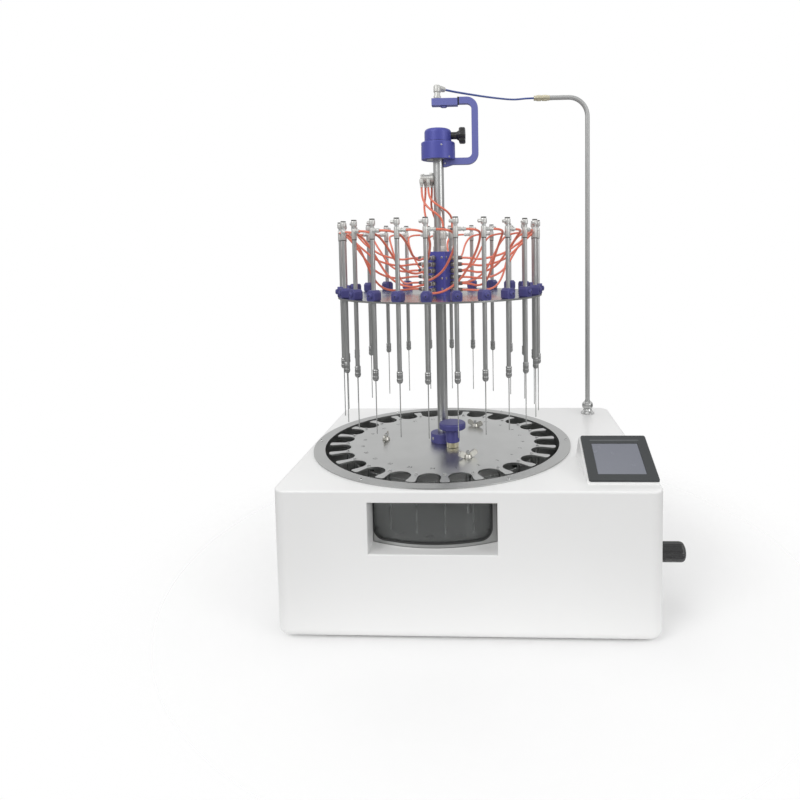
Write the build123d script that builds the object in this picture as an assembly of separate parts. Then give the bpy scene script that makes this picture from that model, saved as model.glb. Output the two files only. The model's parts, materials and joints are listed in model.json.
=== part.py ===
"""Nitrogen sample evaporator: a 24 place round water bath with a turning rack and gas needles.

The model is laid out about the rack's axis, in millimetres, with z = 0 on the bench, the front of
the housing towards -y and the touch screen to the right. Each function below makes one node.
At the end every node is moved together, so that the origin lies in the middle of the footprint.
"""

import math
import os

from build123d import *

# ---------------------------------------------------------------- driving dimensions

# places round the rack
place_count = 24
pitch = 360 / place_count
rest_turn = 5.44            # the rack's turn at rest, in degrees

# housing
axis_to_front = 200.0       # rack axis to the front wall
axis_to_left = 200.0        # rack axis to the left wall
housing_length = 488.5
housing_depth = 403.0
housing_top = 196.0
foot_gap = 3.0              # bench to the housing's underside
housing_wall = 3.0
side_corner = 17.0          # radius of the upright corners
bottom_corner = 13.0
top_edge = 3.0
lip_width = 9.0             # inward lip round the base opening
foot_radius = 12.0
foot_inset = 34.0
pan_thickness = 2.0

# bath
bath_radius = 180.0         # inside of the tank
tank_wall = 2.0
tank_depth = 104.0          # housing's top to the tank's underside
tank_flange = 7.0
flange_thickness = 1.5
ring_inner = 179.3
ring_outer = 196.0
ring_thickness = 2.0
ring_screw_circle_radius = 191.0
ring_screw_count = 6
ring_screw_turn = 0.8
ring_screw_radius = 2.6
heater_inner = 40.0
heater_outer = 150.0
heater_thickness = 3.5

# window in the housing front, and the cut in the tank behind it
window_left = -79.5
window_right = 83.0
window_drop = 15.5          # housing's top to the window's upper edge
window_height = 66.0
window_edge = 1.6
cut_left = -80.0
cut_right = 77.0
cut_drop = 18.0             # housing's top to the cut's upper edge
cut_height = 59.5
cut_corner = 15.0
glass_thickness = 3.0
glass_overlap = 5.0
seal_width = 2.5
seal_proud = 0.6

# rack
rack_rise = 1.0             # rack plate above the housing's top
rack_thickness = 2.5
rack_radius = 174.0
notch_circle_radius = 156.6
notch_width = 31.6
finger_round = 3.5
rack_depth = 79.0           # between the upper faces of the two plates
base_plate_radius = 170.0
base_hole_radius = 6.0
post_circle_radius = 147.0
post_radius = 1.6
post_pin_radius = 1.0       # spigot through the rack plate
post_head_radius = 2.5
post_head_height = 2.1
pillar_circle_radius = 90.0
pillar_radius = 4.0
pillar_places = (1, 9, 17)  # tube places, counted from the front, that the pillars line up with
stud_radius = 2.5
stud_rise = 10.0
spring_radius = 1.5
spring_drop = 10.0          # rack plate's top to the spring
hub_radius = 19.0
hub_height = 14.0
nut_radius = 6.0
nut_top_radius = 4.6
nut_height = 5.5
wing_width = 12.0
wing_height = 9.0
wing_corner = 3.4
wing_thickness = 2.0
wing_reach = 9.2            # nut's axis to each wing's middle
wing_rise = 6.0
wing_lean = 28.0

# column and spindle bearing
column_radius = 8.0
column_bore = 5.0
column_rise = 5.2           # column above the head's shoulder
bearing_radius = 13.0
bearing_flange = 24.0
bearing_flange_height = 4.0
bearing_drop = 6.0          # base plate's top to the bearing's top
running_gap = 0.05          # radial clearance of every turning or sliding fit
free_gap = 0.3              # clearance between faces that pass each other

# head
head_bottom = 629.0
head_body_height = 25.8
head_cap_height = 19.7
head_radius = 25.5
head_edge = 2.0
cap_radius = 20.3
cap_edge = 5.5
head_knob_rise = 9.8        # knob's axis above the head's shoulder
head_knob_stem = 5.6
head_knob_radius = 12.7
head_knob_gap = 6.5         # head's wall to the knob's grip
head_knob_length = 9.4
head_knob_hub = 6.9
head_knob_flutes = 6
head_knob_flute_radius = 3.4
head_knob_flute_offset = 1.4

# hollow gas arm
arm_bar = 9.8
arm_drop = 7.6              # arm's underside below the head's
arm_height = 99.3
arm_reach = 60.8
arm_outer_bend = 17.0
arm_block_start = -8.4
arm_block_end = 30.7
arm_block_step = 1.8        # bar's top above the block's
arm_block_height = 10.2
arm_block_width = 14.0
arm_neck = 1.7
arm_neck_radius = 3.0
arm_lug_drop = 3.2          # lug below the bar, beside the column
arm_lug_foot = 3.5
arm_lug_reach = 14.0
arm_lug_inset = 0.6
plug_place = 9.5
plug_radius = 4.8
plug_height = 2.3

# swivel elbow on the arm's block
swivel_radius = 5.0
swivel_depth = 6.0
elbow_gap = 9.6             # block's top to the elbow's body
elbow_height = 11.5
elbow_radius = 5.5
elbow_barrel = 4.4
elbow_reach = 14.0
elbow_turn = 46.6
elbow_barrel_rise = 6.9     # elbow's underside to the hose's axis

# feed distributor under the head
feed_gap = 19.5             # head's underside to the distributor
feed_height = 15.5
feed_reach = 28.0
feed_width = 15.0
feed_nipple = 5.7
feed_nipple_radius = 2.6
feed_outlets = ((-25.8, -3.2), (-20.6, 3.2), (-15.6, -3.2), (-11.0, 3.6))

# carriage: nozzle disc, manifold and clamps
disc_bottom = 424.0
disc_thickness = 2.5
disc_radius = 154.0
manifold_side = 36.6
manifold_height = 64.5
manifold_turn = -120.0      # direction of one outlet face from the rack's own zero
outlet_rows = 6
outlet_pitch = 9.6
first_outlet = 7.0          # lowest outlet above the disc
outlet_reach = 38.0         # rack axis to the outlets' tips
inlet_circle_radius = 20.0
inlet_height = 36.0
clamp_inner = 141.0
clamp_outer = 154.6
clamp_width = 14.0
clamp_height = 14.5
clamp_chamfer = 3.4
clamp_screw_radius = 3.9
clamp_screw_reach = 3.2

# needle holders
needle_circle_radius = 148.0
holder_tube = 3.0
coupler_height = 16.1
holder_collar = 3.6
holder_collar_drop = 11.0   # nipple's axis to the collar's underside
holder_collar_height = 15.0
valve_radius = 4.2
valve_height = 7.9
valve_neck = 2.6
valve_neck_height = 2.6
valve_cap_radius = 3.75
valve_cap_height = 1.5
valve_knob_radius = 2.4
valve_knob_reach = 8.4
nipple_height = 520.0
nipple_reach = 13.7
nipple_radius = 3.2
coupler_radius = 4.15
coupler_bottom = 318.3
needle_length = 72.3
needle_radius = 0.7

# hoses
hose_radius = 1.6

# lock knob on the rack plate
lock_x, lock_y = 17.0, -30.0
lock_shank = 5.0
lock_collar = 9.0
lock_collar_height = 8.0
lock_stem = 10.5
lock_cap = 19.8
lock_stem_height = 20.0
lock_cap_height = 10.0
lock_tail = 4.0             # shank below the rack plate

# console and touch screen
screen_side = 0.7           # screen to the housing's right wall
screen_width = 88.5
screen_length = 88.7
screen_front = -177.0
screen_rise = 5.0           # screen's front edge above the housing's top
screen_tilt = 21.6
bezel_thickness = 3.0
bezel_corner = 3.0
module_margin = 9.0
module_depth = 7.0
console_side = 2.3          # console's left wall beside the screen
console_margin = 1.5
console_back = -64.0
board_thickness = 1.6

# gas supply pipe
pipe_side = 40.5            # pipe to the housing's right wall
pipe_back = 39.4            # pipe to the housing's back wall
pipe_radius = 4.0
pipe_height = 756.0
pipe_reach = 65.4           # pipe's upright run to its end
pipe_bend = 33.0
pipe_low_bend = 16.0
pipe_entry_height = 120.0
gland_radius = 12.0
gland_rim = 1.2
gland_waist_radius = 6.8
gland_waist_height = 9.0
gland_nut_radius = 9.6
gland_nut_height = 15.0
gland_nut_edge = 2.6
coupling_radius = 5.2
coupling_length = 27.8

# fittings in the rear wall
inlet_body_radius = 8.0
inlet_body_length = 14.0
inlet_neck_radius = 6.0
inlet_hex_radius = 9.0
inlet_hex_length = 5.0
inlet_barb_radius = 4.0
inlet_barb_length = 14.0
power_side = 83.5           # power inlet to the housing's right wall
power_z = 62.0
power_width, power_height = 48.0, 28.0
power_depth = 22.0
power_flange = 2.0
socket_width, socket_height, socket_depth = 24.0, 17.0, 16.0
pin_recess = 6.0
switch_gap = 45.0           # middles of the power inlet and the switch
rocker_width = 11.6
rocker_radius = 9.2
rocker_face = 4.4
rocker_tilt = 8.0
rocker_axis_depth = 1.5
switch_wall = 3.0

# drain valve and its knob
drain_y = -110.0
drain_drop = 16.0           # tank's underside to the valve's axis
drain_port_x = 120.0
drain_pipe = 6.0
drain_pipe_bend = 9.0
drain_port_radius = 5.0
valve_body_gap = 13.5       # valve's body to the housing's right wall
valve_body_length = 40.0
valve_body_radius = 12.0
drain_neck_radius = 7.0
drain_flange_radius = 12.0
drain_flange_height = 2.5
drain_stem_radius = 4.0
drain_stem_length = 15.0
drain_knob_radius = 13.5
drain_knob_length = 47.7
drain_knob_dome = 4.0

# ---------------------------------------------------------------- values that follow

housing_left = -axis_to_left
housing_right = housing_left + housing_length
housing_front = -axis_to_front
housing_back = housing_front + housing_depth
housing_bottom = foot_gap
housing_middle = ((housing_left + housing_right) / 2, (housing_front + housing_back) / 2)
pan_bottom = housing_bottom + housing_wall
tank_outer = bath_radius + tank_wall
tank_floor = housing_top - tank_depth
window_top = housing_top - window_drop
window_sill = window_top - window_height
cut_top = housing_top - cut_drop
cut_bottom = cut_top - cut_height
rack_top = housing_top + rack_rise
rack_bottom = rack_top - rack_thickness
base_plate_top = rack_top - rack_depth
base_plate_bottom = base_plate_top - rack_thickness
bearing_top = base_plate_top - bearing_drop
spring_height = rack_top - spring_drop
head_shoulder = head_bottom + head_body_height
head_top = head_shoulder + head_cap_height
head_knob_height = head_shoulder + head_knob_rise
head_knob_start = head_radius + head_knob_gap
head_knob_end = head_knob_start + head_knob_length
column_top = head_shoulder + column_rise
arm_bottom = head_bottom - arm_drop
arm_top = arm_bottom + arm_height
arm_block_top = arm_top - arm_block_step
elbow_bottom = arm_block_top + elbow_gap
elbow_top = elbow_bottom + elbow_height
elbow_barrel_height = elbow_bottom + elbow_barrel_rise
feed_top = head_bottom - feed_gap
feed_bottom = feed_top - feed_height
disc_top = disc_bottom + disc_thickness
manifold_top = disc_top + manifold_height
clamp_top = disc_top + clamp_height
half_side = manifold_side / 2
inlet_top = manifold_top + inlet_height
holder_tube_bottom = coupler_bottom + coupler_height
needle_tip = coupler_bottom - needle_length
holder_collar_bottom = nipple_height - holder_collar_drop
holder_collar_top = holder_collar_bottom + holder_collar_height
valve_bottom = holder_collar_top + valve_neck_height
valve_top = valve_bottom + valve_height
lock_collar_top = rack_top + lock_collar_height
lock_cap_bottom = lock_collar_top + lock_stem_height
lock_cap_top = lock_cap_bottom + lock_cap_height
screen_left = housing_right - screen_side - screen_width
screen_front_height = housing_top + screen_rise
console_left = screen_left - console_side
pipe_x = housing_right - pipe_side
pipe_y = housing_back - pipe_back
pipe_end = pipe_x - pipe_reach
power_x = housing_right - power_side
switch_x = power_x - switch_gap
drain_z = tank_floor - drain_drop
valve_body_end = housing_right - valve_body_gap
valve_body_start = valve_body_end - valve_body_length
drain_knob_start = housing_right + drain_flange_height + free_gap
upright = (Align.CENTER, Align.CENTER, Align.MIN)

# places that the hoses of one face serve, in pitches from the face's direction, top row first
served_places = (-0.5, 0.5, -1.5, 1.5, -2.5, 2.5)

# hose routes in one quarter: x outwards from the manifold face, from the needle to the outlet
needle_hose_routes = (
    (
        (148.6, -5.4, 520.0), (149.5, 1.5, 520.0), (145.4, 11.7, 518.5), (136.6, 18.5, 514.5),
        (125.4, 20.0, 504.4), (114.2, 17.4, 496.8), (101.6, 13.5, 487.6), (85.1, 8.1, 482.5),
        (65.9, 3.1, 478.5), (50.5, 0.0, 481.5), (38.0, 0.0, 481.5)),
    (
        (144.9, 33.2, 520.0), (144.0, 40.1, 520.0), (137.4, 49.0, 518.5), (127.1, 53.3, 514.5),
        (116.0, 51.6, 503.5), (106.4, 44.9, 493.0), (96.3, 35.1, 480.3), (82.8, 21.3, 472.9),
        (65.5, 8.3, 468.9), (50.5, 0.0, 471.9), (38.0, 0.0, 471.9)),
    (
        (142.1, -43.7, 520.0), (144.8, -37.2, 520.0), (143.5, -26.3, 518.5), (136.7, -17.5, 514.5),
        (126.3, -13.0, 502.5), (114.9, -11.3, 489.1), (102.1, -8.7, 473.0), (85.3, -5.3, 463.3),
        (66.0, -2.0, 459.3), (50.5, 0.0, 462.3), (38.0, 0.0, 462.3)),
    (
        (131.4, 69.6, 520.0), (128.7, 76.0, 520.0), (120.0, 82.8, 518.5), (109.0, 84.3, 514.5),
        (98.8, 79.8, 501.6), (92.1, 69.7, 485.3), (86.5, 55.0, 465.7), (78.4, 34.0, 453.7),
        (64.6, 13.4, 449.7), (50.5, 0.0, 452.7), (38.0, 0.0, 452.7)),
    (
        (125.9, -79.0, 520.0), (130.2, -73.4, 520.0), (131.8, -62.5, 518.5), (127.6, -52.2, 514.5),
        (118.7, -45.1, 500.6), (108.6, -39.2, 481.4), (97.8, -30.6, 458.4), (83.5, -18.6, 444.1),
        (65.6, -7.2, 440.1), (50.5, 0.0, 443.1), (38.0, 0.0, 443.1)),
    (
        (108.9, 101.2, 520.0), (104.6, 106.8, 520.0), (94.5, 111.1, 518.5), (83.5, 109.7, 514.5),
        (75.0, 102.5, 499.6), (72.1, 90.3, 477.6), (72.6, 72.4, 451.1), (72.1, 45.9, 434.5),
        (63.4, 18.4, 431.4), (50.5, 0.0, 433.5), (38.0, 0.0, 433.5)),
)

# feeder routes from the distributor's outlets down to the manifold's inlets, and the faces that
# the inlets stand beside
feeder_faces = (0, 3, 1, 2)
feeder_routes = (
    ((-25.8, -3.2, 588.0), (-25.8, -3.2, 578.0), (-22.5, -10.5, 566.0), (-14.5, -17.0, 556.0),
     (-3.0, -20.4, 548.0), (6.98, -18.74, 538.5), (6.98, -18.74, 527.0)),
    ((-20.6, 3.2, 588.0), (-20.6, 3.2, 576.0), (-23.0, 1.0, 562.0), (-21.5, -5.0, 549.0),
     (-18.74, -6.98, 538.0), (-18.74, -6.98, 527.0)),
    ((-15.6, -3.2, 588.0), (-15.6, -3.2, 579.0), (-11.5, -11.0, 569.0), (-0.5, -15.0, 560.0),
     (11.5, -11.0, 552.5), (18.0, -2.5, 545.0), (18.74, 6.98, 537.5), (18.74, 6.98, 527.0)),
    ((-11.0, 3.6, 588.0), (-11.0, 3.6, 577.0), (-13.5, 10.5, 564.0), (-11.5, 17.0, 551.0),
     (-6.98, 18.74, 539.0), (-6.98, 18.74, 527.0)),
)

# the supply hose's route from the swivel elbow to the pipe's coupling
supply_route = (
    (9.62, 10.17, 735.4), (20.6, 21.8, 735.4), (36.0, 38.5, 736.5), (54.0, 58.5, 738.0),
    (72.5, 80.0, 740.0), (90.0, 102.0, 742.8), (104.5, 122.5, 745.9), (115.5, 140.5, 749.2),
    (125.5, 153.5, 752.2), (135.0, 160.2, 754.6), (144.8, 163.6, 756.0), (154.8, 163.6, 756.0),
)


# ---------------------------------------------------------------- shared forms


def disc(radius, bottom, top, x=0.0, y=0.0):
    """An upright round solid between two heights."""
    return Pos(x, y, bottom) * Cylinder(radius, top - bottom, align=upright)


def tube(outer, inner, bottom, top, x=0.0, y=0.0):
    """An upright tube between two heights."""
    return disc(outer, bottom, top, x, y) - disc(inner, bottom, top, x, y)


def block(x0, x1, y0, y1, z0, z1):
    """A square block between two opposite corners."""
    return Pos((x0 + x1) / 2, (y0 + y1) / 2, (z0 + z1) / 2) * Box(x1 - x0, y1 - y0, z1 - z0)


def turned(*profile):
    """A round solid turned about the z axis from (radius, height) corners."""
    return revolve(make_face(Plane.XZ * Polyline(*profile, close=True)), Axis.Z)


def along_x(radius, start, end, y, z):
    """A round bar along x."""
    return Pos(start, y, z) * Rot(0, 90, 0) * Cylinder(radius, end - start, align=upright)


def along_y(radius, start, end, x, z):
    """A round bar along y."""
    return Pos(x, start, z) * Rot(-90, 0, 0) * Cylinder(radius, end - start, align=upright)


def hexagon(radius, bottom, top, x=0.0, y=0.0):
    """An upright hexagonal prism, radius taken across its corners."""
    return Pos(x, y, bottom) * extrude(RegularPolygon(radius, 6), amount=top - bottom)


def rounded_block(size, middle, corner, bottom, top):
    """A block with rounded upright corners."""
    outline = RectangleRounded(size[0], size[1], corner)
    return Pos(middle[0], middle[1], bottom) * extrude(outline, amount=top - bottom)


def spin(shape, angle):
    """The shape turned about the rack's axis."""
    return Rot(0, 0, angle) * shape


def place_angle(index):
    """Direction of a tube place; place 0 is the first one right of the front finger."""
    return -90 + rest_turn + pitch * (index + 0.5)


def finger_angle(index):
    return -90 + rest_turn + pitch * index


def polar(radius, angle):
    return radius * math.cos(math.radians(angle)), radius * math.sin(math.radians(angle))


def bend_radii(route):
    """The largest tangent arc that each corner of a hose's route has room for."""
    points = [Vector(*point) for point in route]
    radii = []
    for before, corner, after in zip(points, points[1:], points[2:]):
        turn = (corner - before).get_angle(after - corner)
        shorter = min((corner - before).length, (after - corner).length)
        radii.append(0.45 * shorter / math.tan(math.radians(turn) / 2))
    return radii


def led(route, start, end):
    """A route whose ends are led to start and end, with the points between carried along."""
    points = [Vector(*point) for point in route]
    first = Vector(*start) - points[0]
    last = Vector(*end) - points[-1]
    free_points = len(points) - 3
    result = []
    for index, point in enumerate(points):
        share = min(max((index - 1) / free_points, 0), 1)
        result.append(tuple(point + first * (1 - share) + last * share))
    return result


def hose(name, route):
    """A round hose of straight runs joined by tangent arcs."""
    radii = bend_radii(route)
    path = FilletPolyline(*route, radius=radii)
    start = Plane(origin=path @ 0, z_dir=path % 0)
    solid = sweep(start * Circle(hose_radius), path=path)
    section = math.pi * hose_radius**2
    print(f"{name}: {path.length:.1f} long, tightest bend {min(radii):.1f},",
          f"volume over section times length {solid.volume / (section * path.length):.4f}")
    return solid


# ---------------------------------------------------------------- housing and bath


def screen_plane():
    """The touch screen's upper face: x to the right, y up the slope."""
    tilt = math.radians(screen_tilt)
    return Plane(origin=(screen_left, screen_front, screen_front_height),
                 x_dir=(1, 0, 0), z_dir=(0, -math.sin(tilt), math.cos(tilt)))


def console_profile():
    """The console's outline in y and z, under the bezel."""
    tilt = math.radians(screen_tilt)
    front_y = screen_front + bezel_thickness * math.sin(tilt)
    front_z = screen_front_height - bezel_thickness * math.cos(tilt)
    back_y = front_y + screen_length * math.cos(tilt)
    back_z = front_z + screen_length * math.sin(tilt)
    sunk = housing_top - housing_wall / 2
    return [(front_y, sunk), (front_y, front_z), (back_y, back_z), (console_back, housing_top),
            (console_back, sunk)]


def console_solid(inset, floor):
    """The console as a prism, its walls moved in by inset and its foot at floor."""
    face = make_face(Polyline(*console_profile(), close=True))
    if inset:
        face = offset(face, amount=-inset, kind=Kind.INTERSECTION)
    right = housing_right - console_margin
    prism = extrude(Plane.YZ * face, amount=right - console_left - 2 * inset)
    prism = Pos(console_left + inset, 0, 0) * prism
    if inset:
        box = face.bounding_box()
        prism += block(console_left + inset, right - inset, box.min.X, box.max.X, floor,
                       housing_top - housing_wall / 2 + inset)
    return prism


def screen_cutout():
    """The opening that the screen's module passes through."""
    width = screen_width - 2 * module_margin + 2 * free_gap
    length = screen_length - 2 * module_margin + 2 * free_gap
    opening = Pos(screen_width / 2, screen_length / 2, 0) * Box(width, length, 4 * module_depth)
    return screen_plane() * opening


def window_sleeve(margin):
    """The window's opening run back to the tank, with a margin round it."""
    return block(window_left - margin, window_right + margin, housing_front - margin, -housing_wall,
                 window_sill - margin, window_top + margin)


def housing_shell():
    """Moulded case with its window tunnel, bath mouth, console and wall cut-outs."""
    size = (housing_length, housing_depth)
    case = rounded_block(size, housing_middle, side_corner, housing_bottom, housing_top)
    case = fillet(case.edges().group_by(Axis.Z)[0], bottom_corner)
    case = fillet(case.edges().group_by(Axis.Z)[-1], top_edge)
    inside = (housing_length - 2 * housing_wall, housing_depth - 2 * housing_wall)
    hollow = rounded_block(inside, housing_middle, side_corner - housing_wall, pan_bottom,
                           housing_top - housing_wall)
    hollow = fillet(hollow.edges().group_by(Axis.Z)[0], bottom_corner - housing_wall)
    inset = 2 * (bottom_corner + lip_width)
    mouth = rounded_block((housing_length - inset, housing_depth - inset), housing_middle,
                          side_corner / 2, housing_bottom - 1, pan_bottom + 1)
    shell = case + console_solid(0, housing_top) - hollow - mouth
    shell -= console_solid(housing_wall, housing_top - 2 * housing_wall)
    shell -= screen_cutout()
    # the window's sleeve stops just short of the tank
    sleeve = window_sleeve(housing_wall) & block(
        housing_left, housing_right, housing_front + housing_wall / 2, 0, 0, housing_top)
    shell += sleeve - disc(tank_outer + seal_proud + free_gap, housing_bottom, housing_top)
    shell -= window_sleeve(0)
    front_edges = shell.edges().filter_by_position(Axis.Y, housing_front - 0.01,
                                                   housing_front + 0.01)
    rim = [edge for edge in front_edges
           if window_sill - 1 < edge.center().Z < window_top + 1
           and window_left - 1 < edge.center().X < window_right + 1]
    shell = fillet(rim, window_edge)
    # bath mouth with a rebate for the tank's flange
    shell -= disc(tank_outer + free_gap, housing_top - 2 * housing_wall, housing_top + 1)
    shell -= disc(tank_outer + tank_flange + free_gap, housing_top - flange_thickness,
                  housing_top + 1)
    # round holes: pipe, gas inlet, drain valve
    shell -= disc(pipe_radius + free_gap, housing_top - 2 * housing_wall, housing_top + 1,
                  pipe_x, pipe_y)
    shell -= along_y(inlet_neck_radius + free_gap, housing_back - 2 * housing_wall,
                     housing_back + 1, pipe_x, pipe_entry_height)
    shell -= along_x(drain_neck_radius + free_gap, housing_right - 2 * housing_wall,
                     housing_right + 1, drain_y, drain_z)
    # square cut-outs in the rear wall: power inlet and switch
    for middle, width, height in ((power_x, power_width, power_height),
                                  (switch_x, *switch_body())):
        shell -= block(middle - width / 2 - free_gap, middle + width / 2 + free_gap,
                       housing_back - 2 * housing_wall, housing_back + 1,
                       power_z - height / 2 - free_gap, power_z + height / 2 + free_gap)
    # shallow seats for the ring's screws
    for index in range(ring_screw_count):
        x, y = polar(ring_screw_circle_radius, ring_screw_turn + index * 360 / ring_screw_count)
        shell -= disc(ring_screw_radius / 2, housing_top - housing_wall, housing_top + 1, x, y)
    return [shell]


def base_pan():
    """Plate that closes the case from inside its lip."""
    inset = 2 * bottom_corner
    return [rounded_block((housing_length - inset, housing_depth - inset), housing_middle,
                          side_corner / 2, pan_bottom, pan_bottom + pan_thickness)]


def rubber_feet():
    feet = []
    for x in (housing_left + foot_inset, housing_right - foot_inset):
        for y in (housing_front + foot_inset, housing_back - foot_inset):
            feet.append(Pos(x, y, 0) * turned(
                (0, 0), (foot_radius - 1.5, 0), (foot_radius, 1.5), (foot_radius, pan_bottom),
                (0, pan_bottom)))
    return feet


def tank_cut(margin, inner, outer):
    """The window's cut, taken between two radii of the tank, with a margin round it."""
    width = cut_right - cut_left + 2 * margin
    height = cut_top - cut_bottom + 2 * margin
    outline = RectangleRounded(width, height, cut_corner + margin)
    opening = extrude(Plane.XZ * outline, amount=axis_to_front)
    opening = Pos((cut_left + cut_right) / 2, 0, (cut_bottom + cut_top) / 2) * opening
    return opening & tube(outer, inner, tank_floor, housing_top)


def bath_tank():
    """Steel tank that hangs by its flange in the bath mouth."""
    tank = turned(
        (0, tank_floor), (tank_outer, tank_floor), (tank_outer, housing_top - flange_thickness),
        (tank_outer + tank_flange, housing_top - flange_thickness),
        (tank_outer + tank_flange, housing_top), (bath_radius, housing_top),
        (bath_radius, tank_floor + tank_wall), (0, tank_floor + tank_wall))
    tank -= tank_cut(0, bath_radius - tank_wall, tank_outer + tank_wall)
    tank -= disc(drain_port_radius, tank_floor - 1, tank_floor + tank_wall + 1,
                 drain_port_x, drain_y)
    return [tank]


def bath_window():
    """Curved glass behind the tank's cut, and the seal that lines the cut."""
    glass = tank_cut(glass_overlap, bath_radius - glass_thickness, bath_radius)
    seal = tank_cut(0, bath_radius, tank_outer + seal_proud)
    seal -= tank_cut(-seal_width, bath_radius - 1, tank_outer + 1 + seal_proud)
    return [glass, seal]


def bath_ring():
    ring = tube(ring_outer, ring_inner, housing_top, housing_top + ring_thickness)
    for index in range(ring_screw_count):
        x, y = polar(ring_screw_circle_radius, ring_screw_turn + index * 360 / ring_screw_count)
        ring -= disc(ring_screw_radius / 2, housing_top - 1, housing_top + ring_thickness + 1, x, y)
    return [ring]


def ring_screws():
    top = housing_top + ring_thickness
    screws = []
    for index in range(ring_screw_count):
        x, y = polar(ring_screw_circle_radius, ring_screw_turn + index * 360 / ring_screw_count)
        screws.append(Pos(x, y, 0) * turned(
            (0, housing_top - housing_wall), (ring_screw_radius / 2, housing_top - housing_wall),
            (ring_screw_radius / 2, top), (ring_screw_radius, top),
            (ring_screw_radius * 0.8, top + 1.0), (0, top + 1.4)))
    return screws


def bath_heater():
    return [tube(heater_outer, heater_inner, tank_floor - heater_thickness, tank_floor)]


def spindle_bearing():
    """Sleeve on the tank's floor that carries the column."""
    floor = tank_floor + tank_wall
    bearing = turned(
        (0, floor), (bearing_flange, floor), (bearing_flange, floor + bearing_flange_height),
        (bearing_radius, floor + bearing_flange_height), (bearing_radius, bearing_top),
        (column_radius + running_gap, bearing_top),
        (column_radius + running_gap, floor + bearing_flange_height / 2),
        (0, floor + bearing_flange_height / 2))
    return [bearing]


def touch_screen():
    """Bezel and glass, with the module behind them that passes into the console."""
    middle = Pos(screen_width / 2, screen_length / 2, 0)
    bezel = extrude(RectangleRounded(screen_width, screen_length, bezel_corner),
                    amount=-bezel_thickness)
    module = Pos(0, 0, -bezel_thickness) * extrude(
        Rectangle(screen_width - 2 * module_margin, screen_length - 2 * module_margin),
        amount=-module_depth)
    return [screen_plane() * middle * (bezel + module)]


def control_board():
    """Board on the back of the touch screen's module."""
    depth = bezel_thickness + module_depth
    board = Pos(screen_width / 2, screen_length / 2, -depth) * extrude(
        Rectangle(screen_width - 3 * module_margin, screen_length - 3 * module_margin),
        amount=-board_thickness)
    return [screen_plane() * board]


# ---------------------------------------------------------------- fittings in the walls


def switch_body():
    """Width and height of the switch's frame where it passes the wall."""
    return (rocker_width + 2 * free_gap + 2 * switch_wall,
            2 * (rocker_radius + free_gap) + 2 * switch_wall)


def power_inlet():
    """Mains inlet with three pins in its socket, and the frame of the rocker switch."""
    x0, x1 = power_x - power_width / 2, power_x + power_width / 2
    z0, z1 = power_z - power_height / 2, power_z + power_height / 2
    face = housing_back + power_flange
    body = block(x0, x1, housing_back - power_depth, housing_back, z0, z1)
    body += block(x0 - power_flange, x1 + power_flange, housing_back, face,
                  z0 - power_flange, z1 + power_flange)
    body -= block(power_x - socket_width / 2, power_x + socket_width / 2, face - socket_depth,
                  face + 1, power_z - socket_height / 2, power_z + socket_height / 2)
    for across, up in ((-7.0, -2.0), (0.0, 3.0), (7.0, -2.0)):
        body += block(power_x + across - 1, power_x + across + 1, face - socket_depth - 1,
                      face - pin_recess, power_z + up - 2, power_z + up + 2)
    width, height = switch_body()
    frame = block(switch_x - width / 2, switch_x + width / 2, housing_back - rocker_radius - 5,
                  housing_back, power_z - height / 2, power_z + height / 2)
    frame += block(switch_x - width / 2 - power_flange, switch_x + width / 2 + power_flange,
                   housing_back, face, power_z - height / 2 - power_flange,
                   power_z + height / 2 + power_flange)
    room = rocker_radius + free_gap
    frame -= block(switch_x - rocker_width / 2 - free_gap, switch_x + rocker_width / 2 + free_gap,
                   housing_back - rocker_axis_depth - room, face + 1, power_z - room, power_z + room)
    return [body, frame]


def power_switch():
    """Rocker, off side pressed in."""
    rocker = along_x(rocker_radius, switch_x - rocker_width / 2, switch_x + rocker_width / 2, 0, 0)
    rocker -= Rot(rocker_tilt, 0, 0) * block(
        switch_x - rocker_width, switch_x + rocker_width, rocker_face, 2 * rocker_radius,
        -2 * rocker_radius, 2 * rocker_radius)
    return [Pos(0, housing_back - rocker_axis_depth, power_z) * rocker]


def drain_valve():
    """Drain pipe from the tank's floor, valve body, wall flange and stem."""
    path = FilletPolyline((drain_port_x, drain_y, tank_floor), (drain_port_x, drain_y, drain_z),
                          (valve_body_start, drain_y, drain_z), radius=drain_pipe_bend)
    start = Plane(origin=path @ 0, z_dir=path % 0)
    pipe = sweep(start * Circle(drain_pipe), path=path)
    valve = along_x(valve_body_radius, valve_body_start, valve_body_end, drain_y, drain_z)
    valve += along_x(drain_neck_radius, valve_body_end, housing_right, drain_y, drain_z)
    valve += along_x(drain_flange_radius, housing_right, housing_right + drain_flange_height,
                     drain_y, drain_z)
    valve += along_x(drain_stem_radius, housing_right,
                     housing_right + drain_flange_height + drain_stem_length, drain_y, drain_z)
    return [pipe, valve]


def drain_knob():
    """Round black knob on the drain valve's stem."""
    length = drain_knob_length
    knob = turned((0, 0), (drain_knob_radius, 0), (drain_knob_radius, length - drain_knob_dome),
                  (drain_knob_radius * 0.86, length - drain_knob_dome * 0.3),
                  (drain_knob_radius * 0.55, length), (0, length))
    knob -= disc(drain_stem_radius + running_gap, -1, drain_stem_length + free_gap)
    return [Pos(drain_knob_start, drain_y, drain_z) * Rot(0, 90, 0) * knob]


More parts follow.
